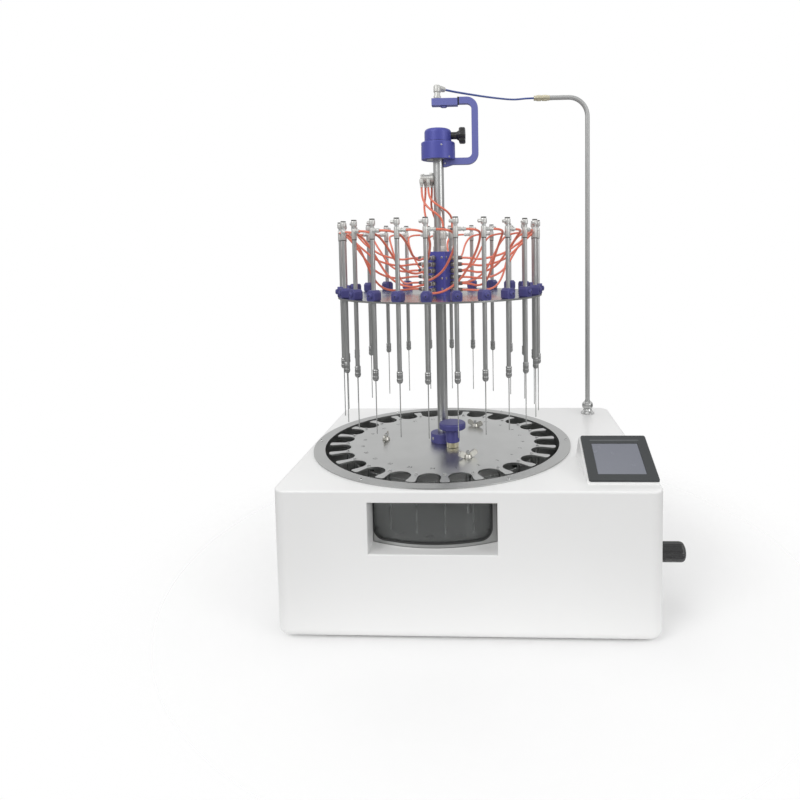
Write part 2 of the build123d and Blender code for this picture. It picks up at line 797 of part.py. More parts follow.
def supply_pipe():
    """Bent gas pipe from the rear inlet up beside the bath, with its gland and nut."""
    inside = housing_back - housing_wall - inlet_body_length
    corners = ((pipe_x, inside, pipe_entry_height), (pipe_x, pipe_y, pipe_entry_height),
               (pipe_x, pipe_y, pipe_height), (pipe_end, pipe_y, pipe_height))
    path = FilletPolyline(*corners, radius=[pipe_low_bend, pipe_bend])
    start = Plane(origin=path @ 0, z_dir=path % 0)
    pipe = sweep(start * Circle(pipe_radius), path=path)
    skirt = turned((pipe_radius, 0), (gland_radius, 0), (gland_radius, gland_rim),
                   (gland_waist_radius, gland_waist_height), (pipe_radius, gland_waist_height))
    nut_top = gland_waist_height + gland_nut_height
    nut = turned((pipe_radius, gland_waist_height),
                 (gland_nut_radius - gland_nut_edge, gland_waist_height),
                 (gland_nut_radius, gland_waist_height + gland_nut_edge),
                 (gland_nut_radius, nut_top - gland_nut_edge),
                 (gland_nut_radius - gland_nut_edge, nut_top), (pipe_radius, nut_top))
    foot = Pos(pipe_x, pipe_y, housing_top)
    return [pipe, foot * skirt, foot * nut]


def brass_fittings():
    """Hose coupling on the pipe's end, and the gas inlet in the rear wall."""
    coupling = along_x(coupling_radius, pipe_end - coupling_length, pipe_end, pipe_y, pipe_height)
    wall_inside = housing_back - housing_wall
    inlet = along_y(inlet_body_radius, wall_inside - inlet_body_length, wall_inside, pipe_x,
                    pipe_entry_height)
    inlet += along_y(inlet_neck_radius, wall_inside, housing_back, pipe_x, pipe_entry_height)
    nut = hexagon(inlet_hex_radius, 0, inlet_hex_length)
    inlet += Pos(pipe_x, housing_back, pipe_entry_height) * Rot(-90, 0, 0) * nut
    inlet += along_y(inlet_barb_radius, housing_back + inlet_hex_length,
                     housing_back + inlet_hex_length + inlet_barb_length, pipe_x,
                     pipe_entry_height)
    return [coupling, inlet]


def supply_hose():
    start = (*polar(elbow_reach, elbow_turn), elbow_barrel_height)
    end = (pipe_end - coupling_length, pipe_y, pipe_height)
    return [hose("supply hose", led(supply_route, start, end))]


def swivel_elbow():
    """Elbow that stays with the hose while the arm turns under it."""
    stub = disc(swivel_radius - running_gap, arm_block_top - swivel_depth + free_gap,
                elbow_bottom)
    body = disc(elbow_radius, elbow_bottom, elbow_top)
    barrel = along_x(elbow_barrel, 0, elbow_reach, 0, elbow_barrel_height)
    return [stub + body + spin(barrel, elbow_turn)]


# ---------------------------------------------------------------- rack


def rack_plate():
    """Plate with one open notch for each tube."""
    plate = disc(rack_radius, rack_bottom, rack_top)
    slot = disc(notch_width / 2, rack_bottom, rack_top, notch_circle_radius)
    slot += block(notch_circle_radius, rack_radius + notch_width, -notch_width / 2, notch_width / 2,
                  rack_bottom, rack_top)
    for index in range(place_count):
        plate -= spin(slot, place_angle(index))
    tips = [edge for edge in plate.edges().filter_by(Axis.Z)
            if math.hypot(edge.center().X, edge.center().Y) > rack_radius - 1]
    plate = fillet(tips, finger_round)
    plate -= disc(column_radius, rack_bottom, rack_top)
    plate -= disc(lock_shank + running_gap, rack_bottom, rack_top, lock_x, lock_y)
    for place in pillar_places:
        plate -= disc(stud_radius, rack_bottom, rack_top,
                      *polar(pillar_circle_radius, place_angle(place)))
    for index in range(place_count):
        plate -= disc(post_pin_radius, rack_bottom, rack_top,
                      *polar(post_circle_radius, finger_angle(index)))
    return [plate]


def rack_base_plate():
    """Disc that the tubes stand on, with a small hole under each, and its hub on the column."""
    plate = disc(base_plate_radius, base_plate_bottom, base_plate_top)
    plate += disc(bearing_radius + 1, bearing_top + free_gap, base_plate_bottom)
    for index in range(place_count):
        plate -= disc(base_hole_radius, base_plate_bottom, base_plate_top,
                      *polar(notch_circle_radius, place_angle(index)))
    plate -= disc(column_radius, bearing_top, base_plate_top)
    return [plate]


def rack_posts():
    """Posts with domed heads on the finger lines, and three pillars with studs for the wing nuts."""
    head_top_radius = post_head_radius * 0.6
    post = turned(
        (0, base_plate_top), (post_radius, base_plate_top), (post_radius, rack_bottom),
        (post_pin_radius, rack_bottom), (post_pin_radius, rack_top), (post_head_radius, rack_top),
        (post_head_radius, rack_top + post_head_height / 2),
        (head_top_radius, rack_top + post_head_height), (0, rack_top + post_head_height))
    posts = [spin(Pos(post_circle_radius, 0, 0) * post, finger_angle(index))
             for index in range(place_count)]
    for place in pillar_places:
        x, y = polar(pillar_circle_radius, place_angle(place))
        pillar = disc(pillar_radius, base_plate_top, rack_bottom, x, y)
        posts.append(pillar + disc(stud_radius, rack_bottom, rack_top + stud_rise, x, y))
    return posts


def retaining_spring():
    """Closed coil spring inside the posts, as the ring that its turns fill."""
    circle = post_circle_radius - post_radius - spring_radius - running_gap
    return [Pos(0, 0, spring_height) * Torus(circle, spring_radius)]


def wing_nuts():
    nuts = []
    for place in pillar_places:
        body = turned((stud_radius, 0), (nut_radius, 0), (nut_top_radius, nut_height),
                      (stud_radius, nut_height))
        wing = Plane.XZ * RectangleRounded(wing_width, wing_height, wing_corner)
        wing = extrude(wing, amount=wing_thickness / 2, both=True)
        pair = body
        for side in (-1, 1):
            pair += Pos(side * wing_reach, 0, wing_rise) * Rot(0, side * -wing_lean, 0) * wing
        pair -= disc(stud_radius, -1, stud_rise + wing_height)
        x, y = polar(pillar_circle_radius, place_angle(place))
        nuts.append(Pos(x, y, rack_top) * Rot(0, 0, place_angle(place) + 90) * pair)
    return nuts


def hub_block():
    return [tube(hub_radius, column_radius, rack_top, rack_top + hub_height)]


def lock_knob():
    """Mushroom knob whose shank passes the rack plate."""
    knob = turned(
        (0, rack_bottom - lock_tail), (lock_shank, rack_bottom - lock_tail),
        (lock_shank, rack_top + free_gap),
        (lock_collar, rack_top + free_gap), (lock_collar, lock_collar_top),
        (lock_stem, lock_collar_top), (lock_stem, lock_cap_bottom), (lock_cap, lock_cap_bottom),
        (lock_cap, lock_cap_top - 1.5), (lock_cap - 1.5, lock_cap_top), (0, lock_cap_top))
    return [Pos(lock_x, lock_y, 0) * knob]


# ---------------------------------------------------------------- column, head and gas arm


def column():
    foot = tank_floor + tank_wall + bearing_flange_height / 2 + free_gap
    return [tube(column_radius, column_bore, foot, column_top)]


def head():
    """Body clamped on the column, with a slot below for the arm, and its cap."""
    body = disc(head_radius, head_bottom, head_shoulder)
    body = fillet(body.edges().group_by(Axis.Z)[-1], head_edge)
    body -= disc(column_radius, head_bottom, head_shoulder)
    body -= block(0, head_radius + 1, -arm_bar / 2, arm_bar / 2, head_bottom, arm_bottom + arm_bar)
    cap = disc(cap_radius, head_shoulder, head_top)
    cap = fillet(cap.edges().group_by(Axis.Z)[-1], cap_edge)
    cap -= disc(column_radius, head_shoulder, column_top)
    cap -= along_x(head_knob_stem + running_gap, column_radius + 2, cap_radius + 1, 0,
                   head_knob_height)
    return [body, cap]


def head_knob():
    """Lobed knob on its stem, at the right of the head."""
    stem = along_x(head_knob_stem, column_radius + 2 + free_gap, head_knob_start, 0,
                   head_knob_height)
    grip = along_x(head_knob_radius, head_knob_start, head_knob_end, 0, head_knob_height)
    grip = chamfer(grip.edges().filter_by(GeomType.CIRCLE), 0.8)
    for index in range(head_knob_flutes):
        y, z = polar(head_knob_radius + head_knob_flute_offset, index * 360 / head_knob_flutes)
        grip -= along_x(head_knob_flute_radius, head_knob_start - 1, head_knob_end + 1, y,
                        head_knob_height + z)
    hub = along_x(head_knob_hub, cap_radius + free_gap, head_knob_start, 0, head_knob_height)
    return [stem + hub + grip]


def gas_arm():
    """Hollow square arm from the column round to the swivel block over the axis."""
    lower = arm_bottom + arm_bar / 2
    upper = arm_top - arm_bar / 2
    outer_x = arm_reach - arm_bar / 2
    bar_start = arm_block_end + arm_neck
    bend = arm_outer_bend - arm_bar / 2
    path = FilletPolyline((column_radius, 0, lower), (outer_x, 0, lower), (outer_x, 0, upper),
                          (bar_start, 0, upper), radius=bend)
    start = Plane(origin=path @ 0, x_dir=(0, 1, 0), z_dir=path % 0)
    bar = sweep(start * Rectangle(arm_bar, arm_bar), path=path)
    bar += along_x(arm_neck_radius, arm_block_end, bar_start, 0, upper)
    # lug beside the column, under the bar
    foot = arm_bottom - arm_lug_drop
    lug = make_face(Plane.XZ * Polyline(
        (column_radius, lower), (column_radius, foot), (column_radius + arm_lug_foot, foot),
        (column_radius + arm_lug_reach, arm_bottom), (column_radius + arm_lug_reach, lower),
        close=True))
    bar += extrude(lug, amount=arm_bar / 2 - arm_lug_inset, both=True)
    end = block(arm_block_start, arm_block_end, -arm_block_width / 2, arm_block_width / 2,
                arm_block_top - arm_block_height, arm_block_top)
    end = fillet(end.edges().filter_by(Axis.Z), 1.5)
    end -= disc(swivel_radius, arm_block_top - swivel_depth, arm_block_top)
    plug_top = arm_block_top - arm_block_height
    plug = hexagon(plug_radius, plug_top - plug_height, plug_top, plug_place)
    return [bar, end, plug]


def feed_distributor():
    """Block on the column that splits the gas into the feeder hoses."""
    body = block(-feed_reach, 0, -feed_width / 2, feed_width / 2, feed_bottom, feed_top)
    body = fillet(body.edges().filter_by(Axis.Z).group_by(Axis.X)[0], 1.5)
    body -= disc(column_radius, feed_bottom, feed_top)
    body -= block(-column_radius / 2, 1, -feed_width, feed_width, feed_bottom, feed_top)
    for x, y in feed_outlets:
        body += disc(feed_nipple_radius, feed_bottom - feed_nipple, feed_bottom, x, y)
    return [body]


# ---------------------------------------------------------------- carriage


def face_angle(index):
    """Direction of one of the manifold's four outlet faces."""
    return manifold_turn + rest_turn + 90 * index


def outlet_height(row):
    return disc_top + first_outlet + outlet_pitch * row


def nozzle_disc():
    plate = tube(disc_radius, column_radius + running_gap, disc_bottom, disc_top)
    for index in range(place_count):
        plate -= disc(holder_tube + free_gap, disc_bottom, disc_top,
                      *polar(needle_circle_radius, place_angle(index)))
    return [plate]


def manifold_block():
    body = block(-half_side, half_side, -half_side, half_side, disc_top, manifold_top)
    body = chamfer(body.edges().filter_by(Axis.Z), 1.0)
    body = spin(body, face_angle(0))
    return [body - disc(column_radius + running_gap, disc_top, manifold_top)]


def manifold_fittings():
    """Outlets in rows on the four faces, and four inlets on top."""
    reach = outlet_reach - half_side
    outlet = turned((0, 0), (3.5, 0), (3.5, 5.5), (2.5, 6.5), (2.5, 12.0), (3.1, 12.5),
                    (3.1, reach), (0, reach))
    fittings = []
    for face in range(4):
        for row in range(outlet_rows):
            fittings.append(spin(Pos(half_side, 0, outlet_height(row)) * Rot(0, 90, 0) * outlet,
                                 face_angle(face)))
    inlet = turned((0, 0), (5.2, 0), (5.2, 8.0), (4.0, 9.0), (4.0, 18.0), (5.2, 19.0),
                   (5.2, 30.0), (3.8, 31.0), (3.8, inlet_height), (0, inlet_height))
    for face in range(4):
        x, y = polar(inlet_circle_radius, face_angle(face) + 45)
        fittings.append(Pos(x, y, manifold_top) * inlet)
    return fittings


def needle_clamps():
    """Clamps round the disc's edge, each with its round screw."""
    middle = (clamp_inner + clamp_outer) / 2
    clamp = block(clamp_inner, clamp_outer, -clamp_width / 2, clamp_width / 2, disc_top, clamp_top)
    clamp = chamfer(clamp.edges().filter_by(Axis.X).group_by(Axis.Z)[-1], clamp_chamfer)
    clamp -= disc(holder_tube + running_gap, disc_top, clamp_top, needle_circle_radius)
    screw = turned((0, 0), (clamp_screw_radius, 0), (clamp_screw_radius, clamp_screw_reach * 0.4),
                   (clamp_screw_radius * 0.7, clamp_screw_reach * 0.85), (0, clamp_screw_reach))
    screw = Pos(clamp_outer, 0, (disc_top + clamp_top) / 2) * Rot(0, 90, 0) * screw
    solids = []
    for index in range(place_count):
        solids += [spin(clamp, place_angle(index)), spin(screw, place_angle(index))]
    return solids


def gas_hoses():
    """All hoses that the manifold feeds, and the feeders above it."""
    quarter = []
    for index, route in enumerate(needle_hose_routes):
        direction = pitch * served_places[index]
        x, y = polar(needle_circle_radius, direction)
        across, along = polar(nipple_reach + free_gap, direction + 90)
        tip = (x + across, y + along, nipple_height)
        outlet = (outlet_reach, 0, outlet_height(outlet_rows - 1 - index))
        quarter.append(hose(f"needle hose {index + 1}", led(route, tip, outlet)))
    solids = [spin(solid, face_angle(face)) for face in range(4) for solid in quarter]
    for index, route in enumerate(feeder_routes):
        start = (*feed_outlets[index], feed_bottom - feed_nipple - free_gap)
        end = (*polar(inlet_circle_radius, face_angle(feeder_faces[index]) + 45), inlet_top)
        solids.append(hose(f"feeder {index + 1}", led(route, start, end)))
    return solids


def needle(index):
    """One needle holder: tube with collar and nipple, valve, cap, coupler and needle."""
    tube_part = turned(
        (0, holder_tube_bottom), (holder_tube, holder_tube_bottom),
        (holder_tube, holder_collar_bottom), (holder_collar, holder_collar_bottom),
        (holder_collar, holder_collar_top), (0, holder_collar_top))
    tube_part += along_y(nipple_radius, 0, nipple_reach, 0, nipple_height)
    valve = turned((0, holder_collar_top), (valve_neck, holder_collar_top),
                   (valve_neck, valve_bottom), (valve_radius, valve_bottom),
                   (valve_radius, valve_top), (0, valve_top))
    valve += along_y(valve_knob_radius, -valve_knob_reach, 0, 0, (valve_bottom + valve_top) / 2)
    cap = disc(valve_cap_radius, valve_top, valve_top + valve_cap_height)
    coupler = turned((0, coupler_bottom), (coupler_radius - 1, coupler_bottom),
                     (coupler_radius, coupler_bottom + 1.5), (coupler_radius, holder_tube_bottom),
                     (0, holder_tube_bottom))
    cannula = disc(needle_radius, needle_tip, coupler_bottom)
    return [spin(Pos(needle_circle_radius, 0, 0) * solid, place_angle(index))
            for solid in (tube_part, valve, cap, coupler, cannula)]


# ---------------------------------------------------------------- all nodes

node_makers = {
    maker.__name__: maker
    for maker in (
        housing_shell, base_pan, rubber_feet, bath_tank, bath_window, bath_ring, ring_screws,
        bath_heater, spindle_bearing, touch_screen, control_board, power_inlet, power_switch,
        drain_valve, drain_knob, supply_pipe, brass_fittings, supply_hose, swivel_elbow,
        rack_plate, rack_base_plate, rack_posts, retaining_spring, wing_nuts, hub_block, lock_knob,
        column, head, head_knob, gas_arm, feed_distributor,
        nozzle_disc, manifold_block, manifold_fittings, needle_clamps, gas_hoses)
}


def footprint_middle():
    """Middle of the overall outline: walls, drain knob and the gas inlet's barb."""
    back = housing_back + inlet_hex_length + inlet_barb_length
    right = drain_knob_start + drain_knob_length
    return (housing_left + right) / 2, (housing_front + back) / 2


def main():
    os.makedirs("parts", exist_ok=True)
    nodes = {name: maker() for name, maker in node_makers.items()}
    for index in range(place_count):
        nodes[f"needle_{index + 1:02d}"] = needle(index)
    middle_x, middle_y = footprint_middle()
    print(f"rack axis at {-middle_x:.3f}, {-middle_y:.3f}")
    for name, shapes in nodes.items():
        solids = [solid for shape in shapes for solid in shape.solids()]
        moved = [Pos(-middle_x, -middle_y, 0) * solid for solid in solids]
        export_step(Compound(moved) if len(moved) > 1 else moved[0], f"parts/{name}.step")


main()
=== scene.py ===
import json
import math

import bmesh
import bpy
from bpy.props import (BoolProperty, FloatProperty, FloatVectorProperty, IntProperty,
                       PointerProperty)
from mathutils import Matrix, Vector


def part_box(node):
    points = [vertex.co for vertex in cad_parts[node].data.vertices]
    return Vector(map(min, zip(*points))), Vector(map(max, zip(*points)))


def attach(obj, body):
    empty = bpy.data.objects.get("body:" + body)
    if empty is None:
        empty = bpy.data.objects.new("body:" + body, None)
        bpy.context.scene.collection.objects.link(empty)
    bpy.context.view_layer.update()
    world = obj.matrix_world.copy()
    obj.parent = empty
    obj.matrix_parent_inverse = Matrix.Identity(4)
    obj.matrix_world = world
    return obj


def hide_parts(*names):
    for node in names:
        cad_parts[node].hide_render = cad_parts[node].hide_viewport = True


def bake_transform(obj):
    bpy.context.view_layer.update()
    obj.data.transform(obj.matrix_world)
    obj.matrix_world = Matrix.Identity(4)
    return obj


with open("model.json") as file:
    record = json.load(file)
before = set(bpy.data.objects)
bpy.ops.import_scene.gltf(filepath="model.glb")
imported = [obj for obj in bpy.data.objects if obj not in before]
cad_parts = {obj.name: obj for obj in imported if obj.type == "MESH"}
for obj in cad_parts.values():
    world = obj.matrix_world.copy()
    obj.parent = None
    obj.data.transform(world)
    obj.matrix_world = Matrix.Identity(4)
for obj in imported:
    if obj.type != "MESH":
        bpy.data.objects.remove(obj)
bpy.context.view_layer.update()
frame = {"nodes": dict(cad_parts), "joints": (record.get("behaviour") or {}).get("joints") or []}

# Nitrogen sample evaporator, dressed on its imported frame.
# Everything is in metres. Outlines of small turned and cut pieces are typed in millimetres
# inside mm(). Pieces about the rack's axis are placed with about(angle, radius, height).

bl_info = {
    "name": "Nitrogen Sample Evaporator",
    "version": (1, 0, 0),
    "blender": (4, 5, 0),
    "location": "3D View > Sidebar > Evaporator",
    "description": "Dresses a bench evaporator with its finishes, fittings, hoses and needles",
    "category": "Object",
}


# ---------------------------------------------------------------- places read from the frame


def joint_place(name):
    """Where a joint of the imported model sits, in the row frame."""
    return Vector(next(joint for joint in frame["joints"] if joint["name"] == name)["pos_m"])


rack_axis = joint_place("rack_turn")
rack_axis.z = 0.0
place_count = 24
face_count = 4                  # of the manifold block
pitch = 2 * math.pi / place_count
rest_turn = math.radians(5.44)

plate_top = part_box("hub_block")[0].z
disc_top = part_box("manifold_block")[0].z
manifold_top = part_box("manifold_block")[1].z
housing_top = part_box("bath_ring")[0].z
housing_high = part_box("housing_shell")[1]
identity = Matrix.Identity(4)
quarter = math.pi / 2
outwards = Matrix.Rotation(quarter, 4, "Y")     # lays the z axis along x
stood_up = Matrix.Rotation(quarter, 4, "X")     # stands the y axis along z
crosswise = Matrix.Rotation(quarter, 4, "Z")    # turns the x axis along y
finish_prefix = "dressed_"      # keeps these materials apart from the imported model's own


def mm(value):
    """Millimetres to metres, for a number or for any nesting of tuples of them."""
    if isinstance(value, (int, float)):
        return value * 0.001
    return tuple(mm(part) for part in value)


def about(angle, radius=0.0, height=0.0):
    """Placement turned about the rack's axis, with its x axis pointing outwards."""
    return (Matrix.Translation(rack_axis) @ Matrix.Rotation(angle, 4, "Z")
            @ Matrix.Translation((radius, 0, height)))


def place_angle(index):
    """Direction of a tube place; place 0 is the first one right of the front finger."""
    return -quarter + rest_turn + pitch * (index + 0.5)


def face_angle(index):
    """Direction of one of the manifold's four outlet faces."""
    return math.radians(-120) + rest_turn + quarter * index


def pointing(direction):
    """Rotation that lays the z axis along a direction."""
    return Vector(direction).to_track_quat("Z", "Y").to_matrix().to_4x4()


# ---------------------------------------------------------------- sizes and colours to set


def length(name, description, default):
    """A length to set, in metres."""
    return FloatProperty(name=name, description=description, default=default, unit="LENGTH",
                         precision=4, min=0.0)


def colour(name, description, default):
    """A colour to set, as linear red, green and blue."""
    return FloatVectorProperty(name=name, description=description, default=default, size=3,
                               subtype="COLOR", min=0.0, max=1.0)


class EvaporatorSizes(bpy.types.PropertyGroup):
    """Sizes of the pieces that are modelled here."""

    needle_circle: length("Needle circle", "Radius on which the needles stand", 0.148)
    number_circle: length("Number circle", "Radius of the place numbers", 0.1235)
    number_height: length("Number height", "Height of the place numbers", 0.0075)
    hose_diameter: length("Hose diameter", "Outside diameter of every gas hose", 0.0032)
    pipe_diameter: length("Pipe diameter", "Outside diameter of the supply pipe", 0.008)
    spring_radius: length("Spring radius", "Outer radius of the retaining spring's coil", 0.0015)
    spring_turns: IntProperty(name="Spring turns", description="Turns of the retaining spring",
                              default=420, min=60)


class EvaporatorColours(bpy.types.PropertyGroup):
    """Main colours of the finishes."""

    coat: colour("Coat", "Moulded housing", (0.87, 0.87, 0.865))
    blue: colour("Blue", "Anodised pieces", (0.075, 0.083, 0.38))
    arm: colour("Arm", "Satin blue arm", (0.15, 0.165, 0.46))
    hose: colour("Hose", "Salmon hoses", (0.84, 0.215, 0.135))
    supply: colour("Supply hose", "Blue supply hose", (0.045, 0.085, 0.33))
    steel: colour("Steel", "Stainless pieces", (0.50, 0.505, 0.50))
    display: colour("Display", "Display of the touch screen", (0.19, 0.20, 0.235))


class EvaporatorStage(bpy.types.PropertyGroup):
    """Camera and light."""

    lens: FloatProperty(name="Lens", description="Focal length in millimetres", default=27.687,
                        min=1.0)
    key: FloatProperty(name="Key light", description="Power of the large soft light",
                       default=18.0, min=0.0, unit="POWER")
    sky: FloatProperty(name="Sky", description="Brightness of the surroundings", default=1.05,
                       min=0.0)
    show_floor: BoolProperty(name="Floor", description="Lay a pale floor", default=True)


def sizes():
    """The sizes set in the scene."""
    return bpy.context.scene.evaporator_sizes


def colours():
    """The colours set in the scene."""
    return bpy.context.scene.evaporator_colours


# ---------------------------------------------------------------- node graphs


def socket(owner, name, value):
    """Sets an input, or links it when the value is another node's output."""
    target = owner.inputs[name]
    if isinstance(value, bpy.types.NodeSocket):
        owner.id_data.links.new(value, target)
    elif target.type == "RGBA":
        target.default_value = (*value, 1.0) if len(value) == 3 else value
    else:
        target.default_value = value


def node(tree, kind, options=None, inputs=None):
    """Adds a node with its options and its inputs' values or links."""
    made = tree.nodes.new(kind)
    for name, value in (options or {}).items():
        setattr(made, name, value)
    for name, value in (inputs or {}).items():
        socket(made, name, value)
    return made


def maths(tree, operation, first, second=0.0, third=0.0):
    """The result of a sum on up to three values."""
    made = node(tree, "ShaderNodeMath", {"operation": operation},
                {0: first, 1: second, 2: third})
    return made.outputs[0]


def between(tree, value, low, high):
    """Spreads a 0 to 1 value between two numbers."""
    return maths(tree, "MULTIPLY_ADD", value, high - low, low)


def blended(tree, amount, first, second):
    """A colour between two others."""
    made = node(tree, "ShaderNodeMix", {"data_type": "RGBA"})
    for name, value in ((0, amount), (6, first), (7, second)):
        socket(made, name, value)
    return made.outputs[2]


def noise(tree, vector, scale, detail=2.0, roughness=0.5):
    """A cloudy value from 0 to 1."""
    made = node(tree, "ShaderNodeTexNoise", None,
                {"Vector": vector, "Scale": scale, "Detail": detail, "Roughness": roughness})
    return made.outputs["Fac"]


def effect(name, inputs, outputs, build):
    """A shader node group that is built once and shared between materials."""
    found = bpy.data.node_groups.get(name)
    if found:
        return found
    group = bpy.data.node_groups.new(name, "ShaderNodeTree")
    for label, kind, value in inputs:
        made = group.interface.new_socket(name=label, in_out="INPUT", socket_type=kind)
        if value is not None:
            made.default_value = value
    for label in outputs:
        group.interface.new_socket(name=label, in_out="OUTPUT", socket_type="NodeSocketFloat")
    entry = group.nodes.new("NodeGroupInput")
    result = group.nodes.new("NodeGroupOutput")
    for label, value in build(group, entry.outputs).items():
        group.links.new(value, result.inputs[label])
    return group


def use(tree, group, **inputs):
    """Places a shared effect in a material with its own values."""
    made = tree.nodes.new("ShaderNodeGroup")
    made.node_tree = group
    for name, value in inputs.items():
        socket(made, name.replace("_", " ").capitalize(), value)
    return made.outputs


def stipple():
    """Fine moulded grain, and slow uneven tone."""
    def build(tree, given):
        fine = noise(tree, given["Vector"], given["Scale"], 3.0, 0.6)
        slow = noise(tree, given["Vector"], 9.0, 2.0)
        return {"Height": fine, "Tone": slow}
    return effect("Stipple", (("Vector", "NodeSocketVector", None),
                              ("Scale", "NodeSocketFloat", 2600.0)), ("Height", "Tone"), build)


def drawn_marks():
    """Long fine marks that run along one direction of a drawn or ground surface."""
    def build(tree, given):
        stretched = node(tree, "ShaderNodeVectorMath", {"operation": "MULTIPLY"},
                         {0: given["Vector"], 1: given["Stretch"]}).outputs[0]
        fine = noise(tree, stretched, 1.0, 4.0, 0.65)
        slow = noise(tree, given["Vector"], 35.0, 2.0)
        return {"Marks": fine, "Tone": slow}
    return effect("Drawn marks", (("Vector", "NodeSocketVector", None),
                                  ("Stretch", "NodeSocketVector", (2500.0, 2500.0, 40.0))),
                  ("Marks", "Tone"), build)


def turned_marks():
    """Fine marks in circles about an upright axis."""
    def build(tree, given):
        arm = node(tree, "ShaderNodeVectorMath", {"operation": "SUBTRACT"},
                   {0: given["Vector"], 1: given["Centre"]}).outputs[0]
        split = node(tree, "ShaderNodeSeparateXYZ", None, {0: arm}).outputs
        flat = node(tree, "ShaderNodeCombineXYZ", None, {0: split[0], 1: split[1]}).outputs[0]
        reach = node(tree, "ShaderNodeVectorMath", {"operation": "LENGTH"}, {0: flat}).outputs[1]
        turn = maths(tree, "ARCTAN2", split[1], split[0])
        cell = node(tree, "ShaderNodeCombineXYZ", None,
                    {0: maths(tree, "MULTIPLY", reach, given["Scale"]),
                     1: maths(tree, "MULTIPLY", turn, 3.0),
                     2: maths(tree, "MULTIPLY", split[2], given["Scale"])}).outputs[0]
        return {"Marks": noise(tree, cell, 1.0, 4.0, 0.65),
                "Tone": noise(tree, given["Vector"], 22.0, 2.0)}
    return effect("Turned marks", (("Vector", "NodeSocketVector", None),
                                   ("Centre", "NodeSocketVector", (0.0, 0.0, 0.0)),
                                   ("Scale", "NodeSocketFloat", 1800.0)),
                  ("Marks", "Tone"), build)


def worn_edges():
    """Mask of the edges, where a finish rubs thin and where a painted highlight lightens them."""
    def build(tree, given):
        soft = node(tree, "ShaderNodeBevel", {"samples": 4}, {"Radius": given["Radius"]})
        plain = node(tree, "ShaderNodeNewGeometry").outputs["True Normal"]
        facing = node(tree, "ShaderNodeVectorMath", {"operation": "DOT_PRODUCT"},
                      {0: soft.outputs[0], 1: plain}).outputs["Value"]
        turned_away = maths(tree, "SUBTRACT", 1.0, facing)
        patchy = between(tree, noise(tree, given["Vector"], 450.0, 2.0), 0.4, 1.2)
        mask = node(tree, "ShaderNodeMapRange", None,
                    {"Value": maths(tree, "MULTIPLY", turned_away, patchy),
                     "From Min": 0.04, "From Max": 0.28}).outputs[0]
        return {"Mask": mask}
    return effect("Wear and sheen edges", (("Vector", "NodeSocketVector", None),
                                 ("Radius", "NodeSocketFloat", 0.0006)), ("Mask",), build)


def smudges():
    """Faint patches left by handling, for roughness."""
    def build(tree, given):
        patch = noise(tree, given["Vector"], given["Scale"], 4.0, 0.55)
        mask = node(tree, "ShaderNodeMapRange", None,
                    {"Value": patch, "From Min": 0.42, "From Max": 0.72}).outputs[0]
        return {"Mask": mask}
    return effect("Smudges", (("Vector", "NodeSocketVector", None),
                              ("Scale", "NodeSocketFloat", 18.0)), ("Mask",), build)


# ---------------------------------------------------------------- finishes


def new_material(name):
    """An empty material: its tree, its surface shader and the object's own coordinates."""
    material = bpy.data.materials.new(finish_prefix + name)
    material.use_nodes = True
    tree = material.node_tree
    tree.nodes.clear()
    shader = tree.nodes.new("ShaderNodeBsdfPrincipled")
    output = tree.nodes.new("ShaderNodeOutputMaterial")
    tree.links.new(shader.outputs[0], output.inputs[0])
    place = tree.nodes.new("ShaderNodeTexCoord").outputs["Object"]
    return material, tree, shader, place


def bumped(tree, shader, height, depth, strength=1.0):
    """Lets a height from 0 to 1 raise the surface by up to depth."""
    bump = node(tree, "ShaderNodeBump", None,
                {"Strength": strength, "Distance": depth, "Height": height})
    socket(shader, "Normal", bump.outputs[0])


def shaded(base, factor):
    """A colour made lighter or darker."""
    return tuple(min(1.0, part * factor) for part in base)


def metal(name, base, roughness, marks="drawn", stretch=(2500.0, 2500.0, 40.0), contrast=0.10,
          depth=0.000004, wear=None, worn=(0.62, 0.62, 0.62), metallic=1.0, scale=1800.0,
          spread=0.10):
    """Bare or anodised metal with drawn or turned marks, handling, and lighter edges that are
    partly rubbed wear and partly painted highlight.
    """
    material, tree, shader, place = new_material(name)
    if marks == "turned":
        found = use(tree, turned_marks(), vector=place, centre=tuple(rack_axis), scale=scale)
    elif marks == "cast":
        grains = use(tree, stipple(), vector=place, scale=scale)
        found = {"Marks": grains["Height"], "Tone": grains["Tone"]}
    else:
        found = use(tree, drawn_marks(), vector=place, stretch=stretch)
    hands = use(tree, smudges(), vector=place, scale=24.0)["Mask"]
    tone = maths(tree, "ADD", maths(tree, "MULTIPLY", found["Marks"], 0.6),
                 maths(tree, "MULTIPLY", found["Tone"], 0.4))
    surface = blended(tree, tone, shaded(base, 1 - contrast), shaded(base, 1 + contrast))
    # edges lightened: partly rubbed wear, partly painted highlight
    if wear:
        mask = use(tree, worn_edges(), vector=place, radius=wear)["Mask"]
        surface = blended(tree, mask, surface, worn)
    rough = maths(tree, "ADD", between(tree, found["Marks"], roughness - spread / 2,
                                       roughness + spread / 2),
                  maths(tree, "MULTIPLY", hands, 0.05))
    socket(shader, "Base Color", surface)
    socket(shader, "Roughness", rough)
    shader.inputs["Metallic"].default_value = metallic
    bumped(tree, shader, found["Marks"], depth)
    return material


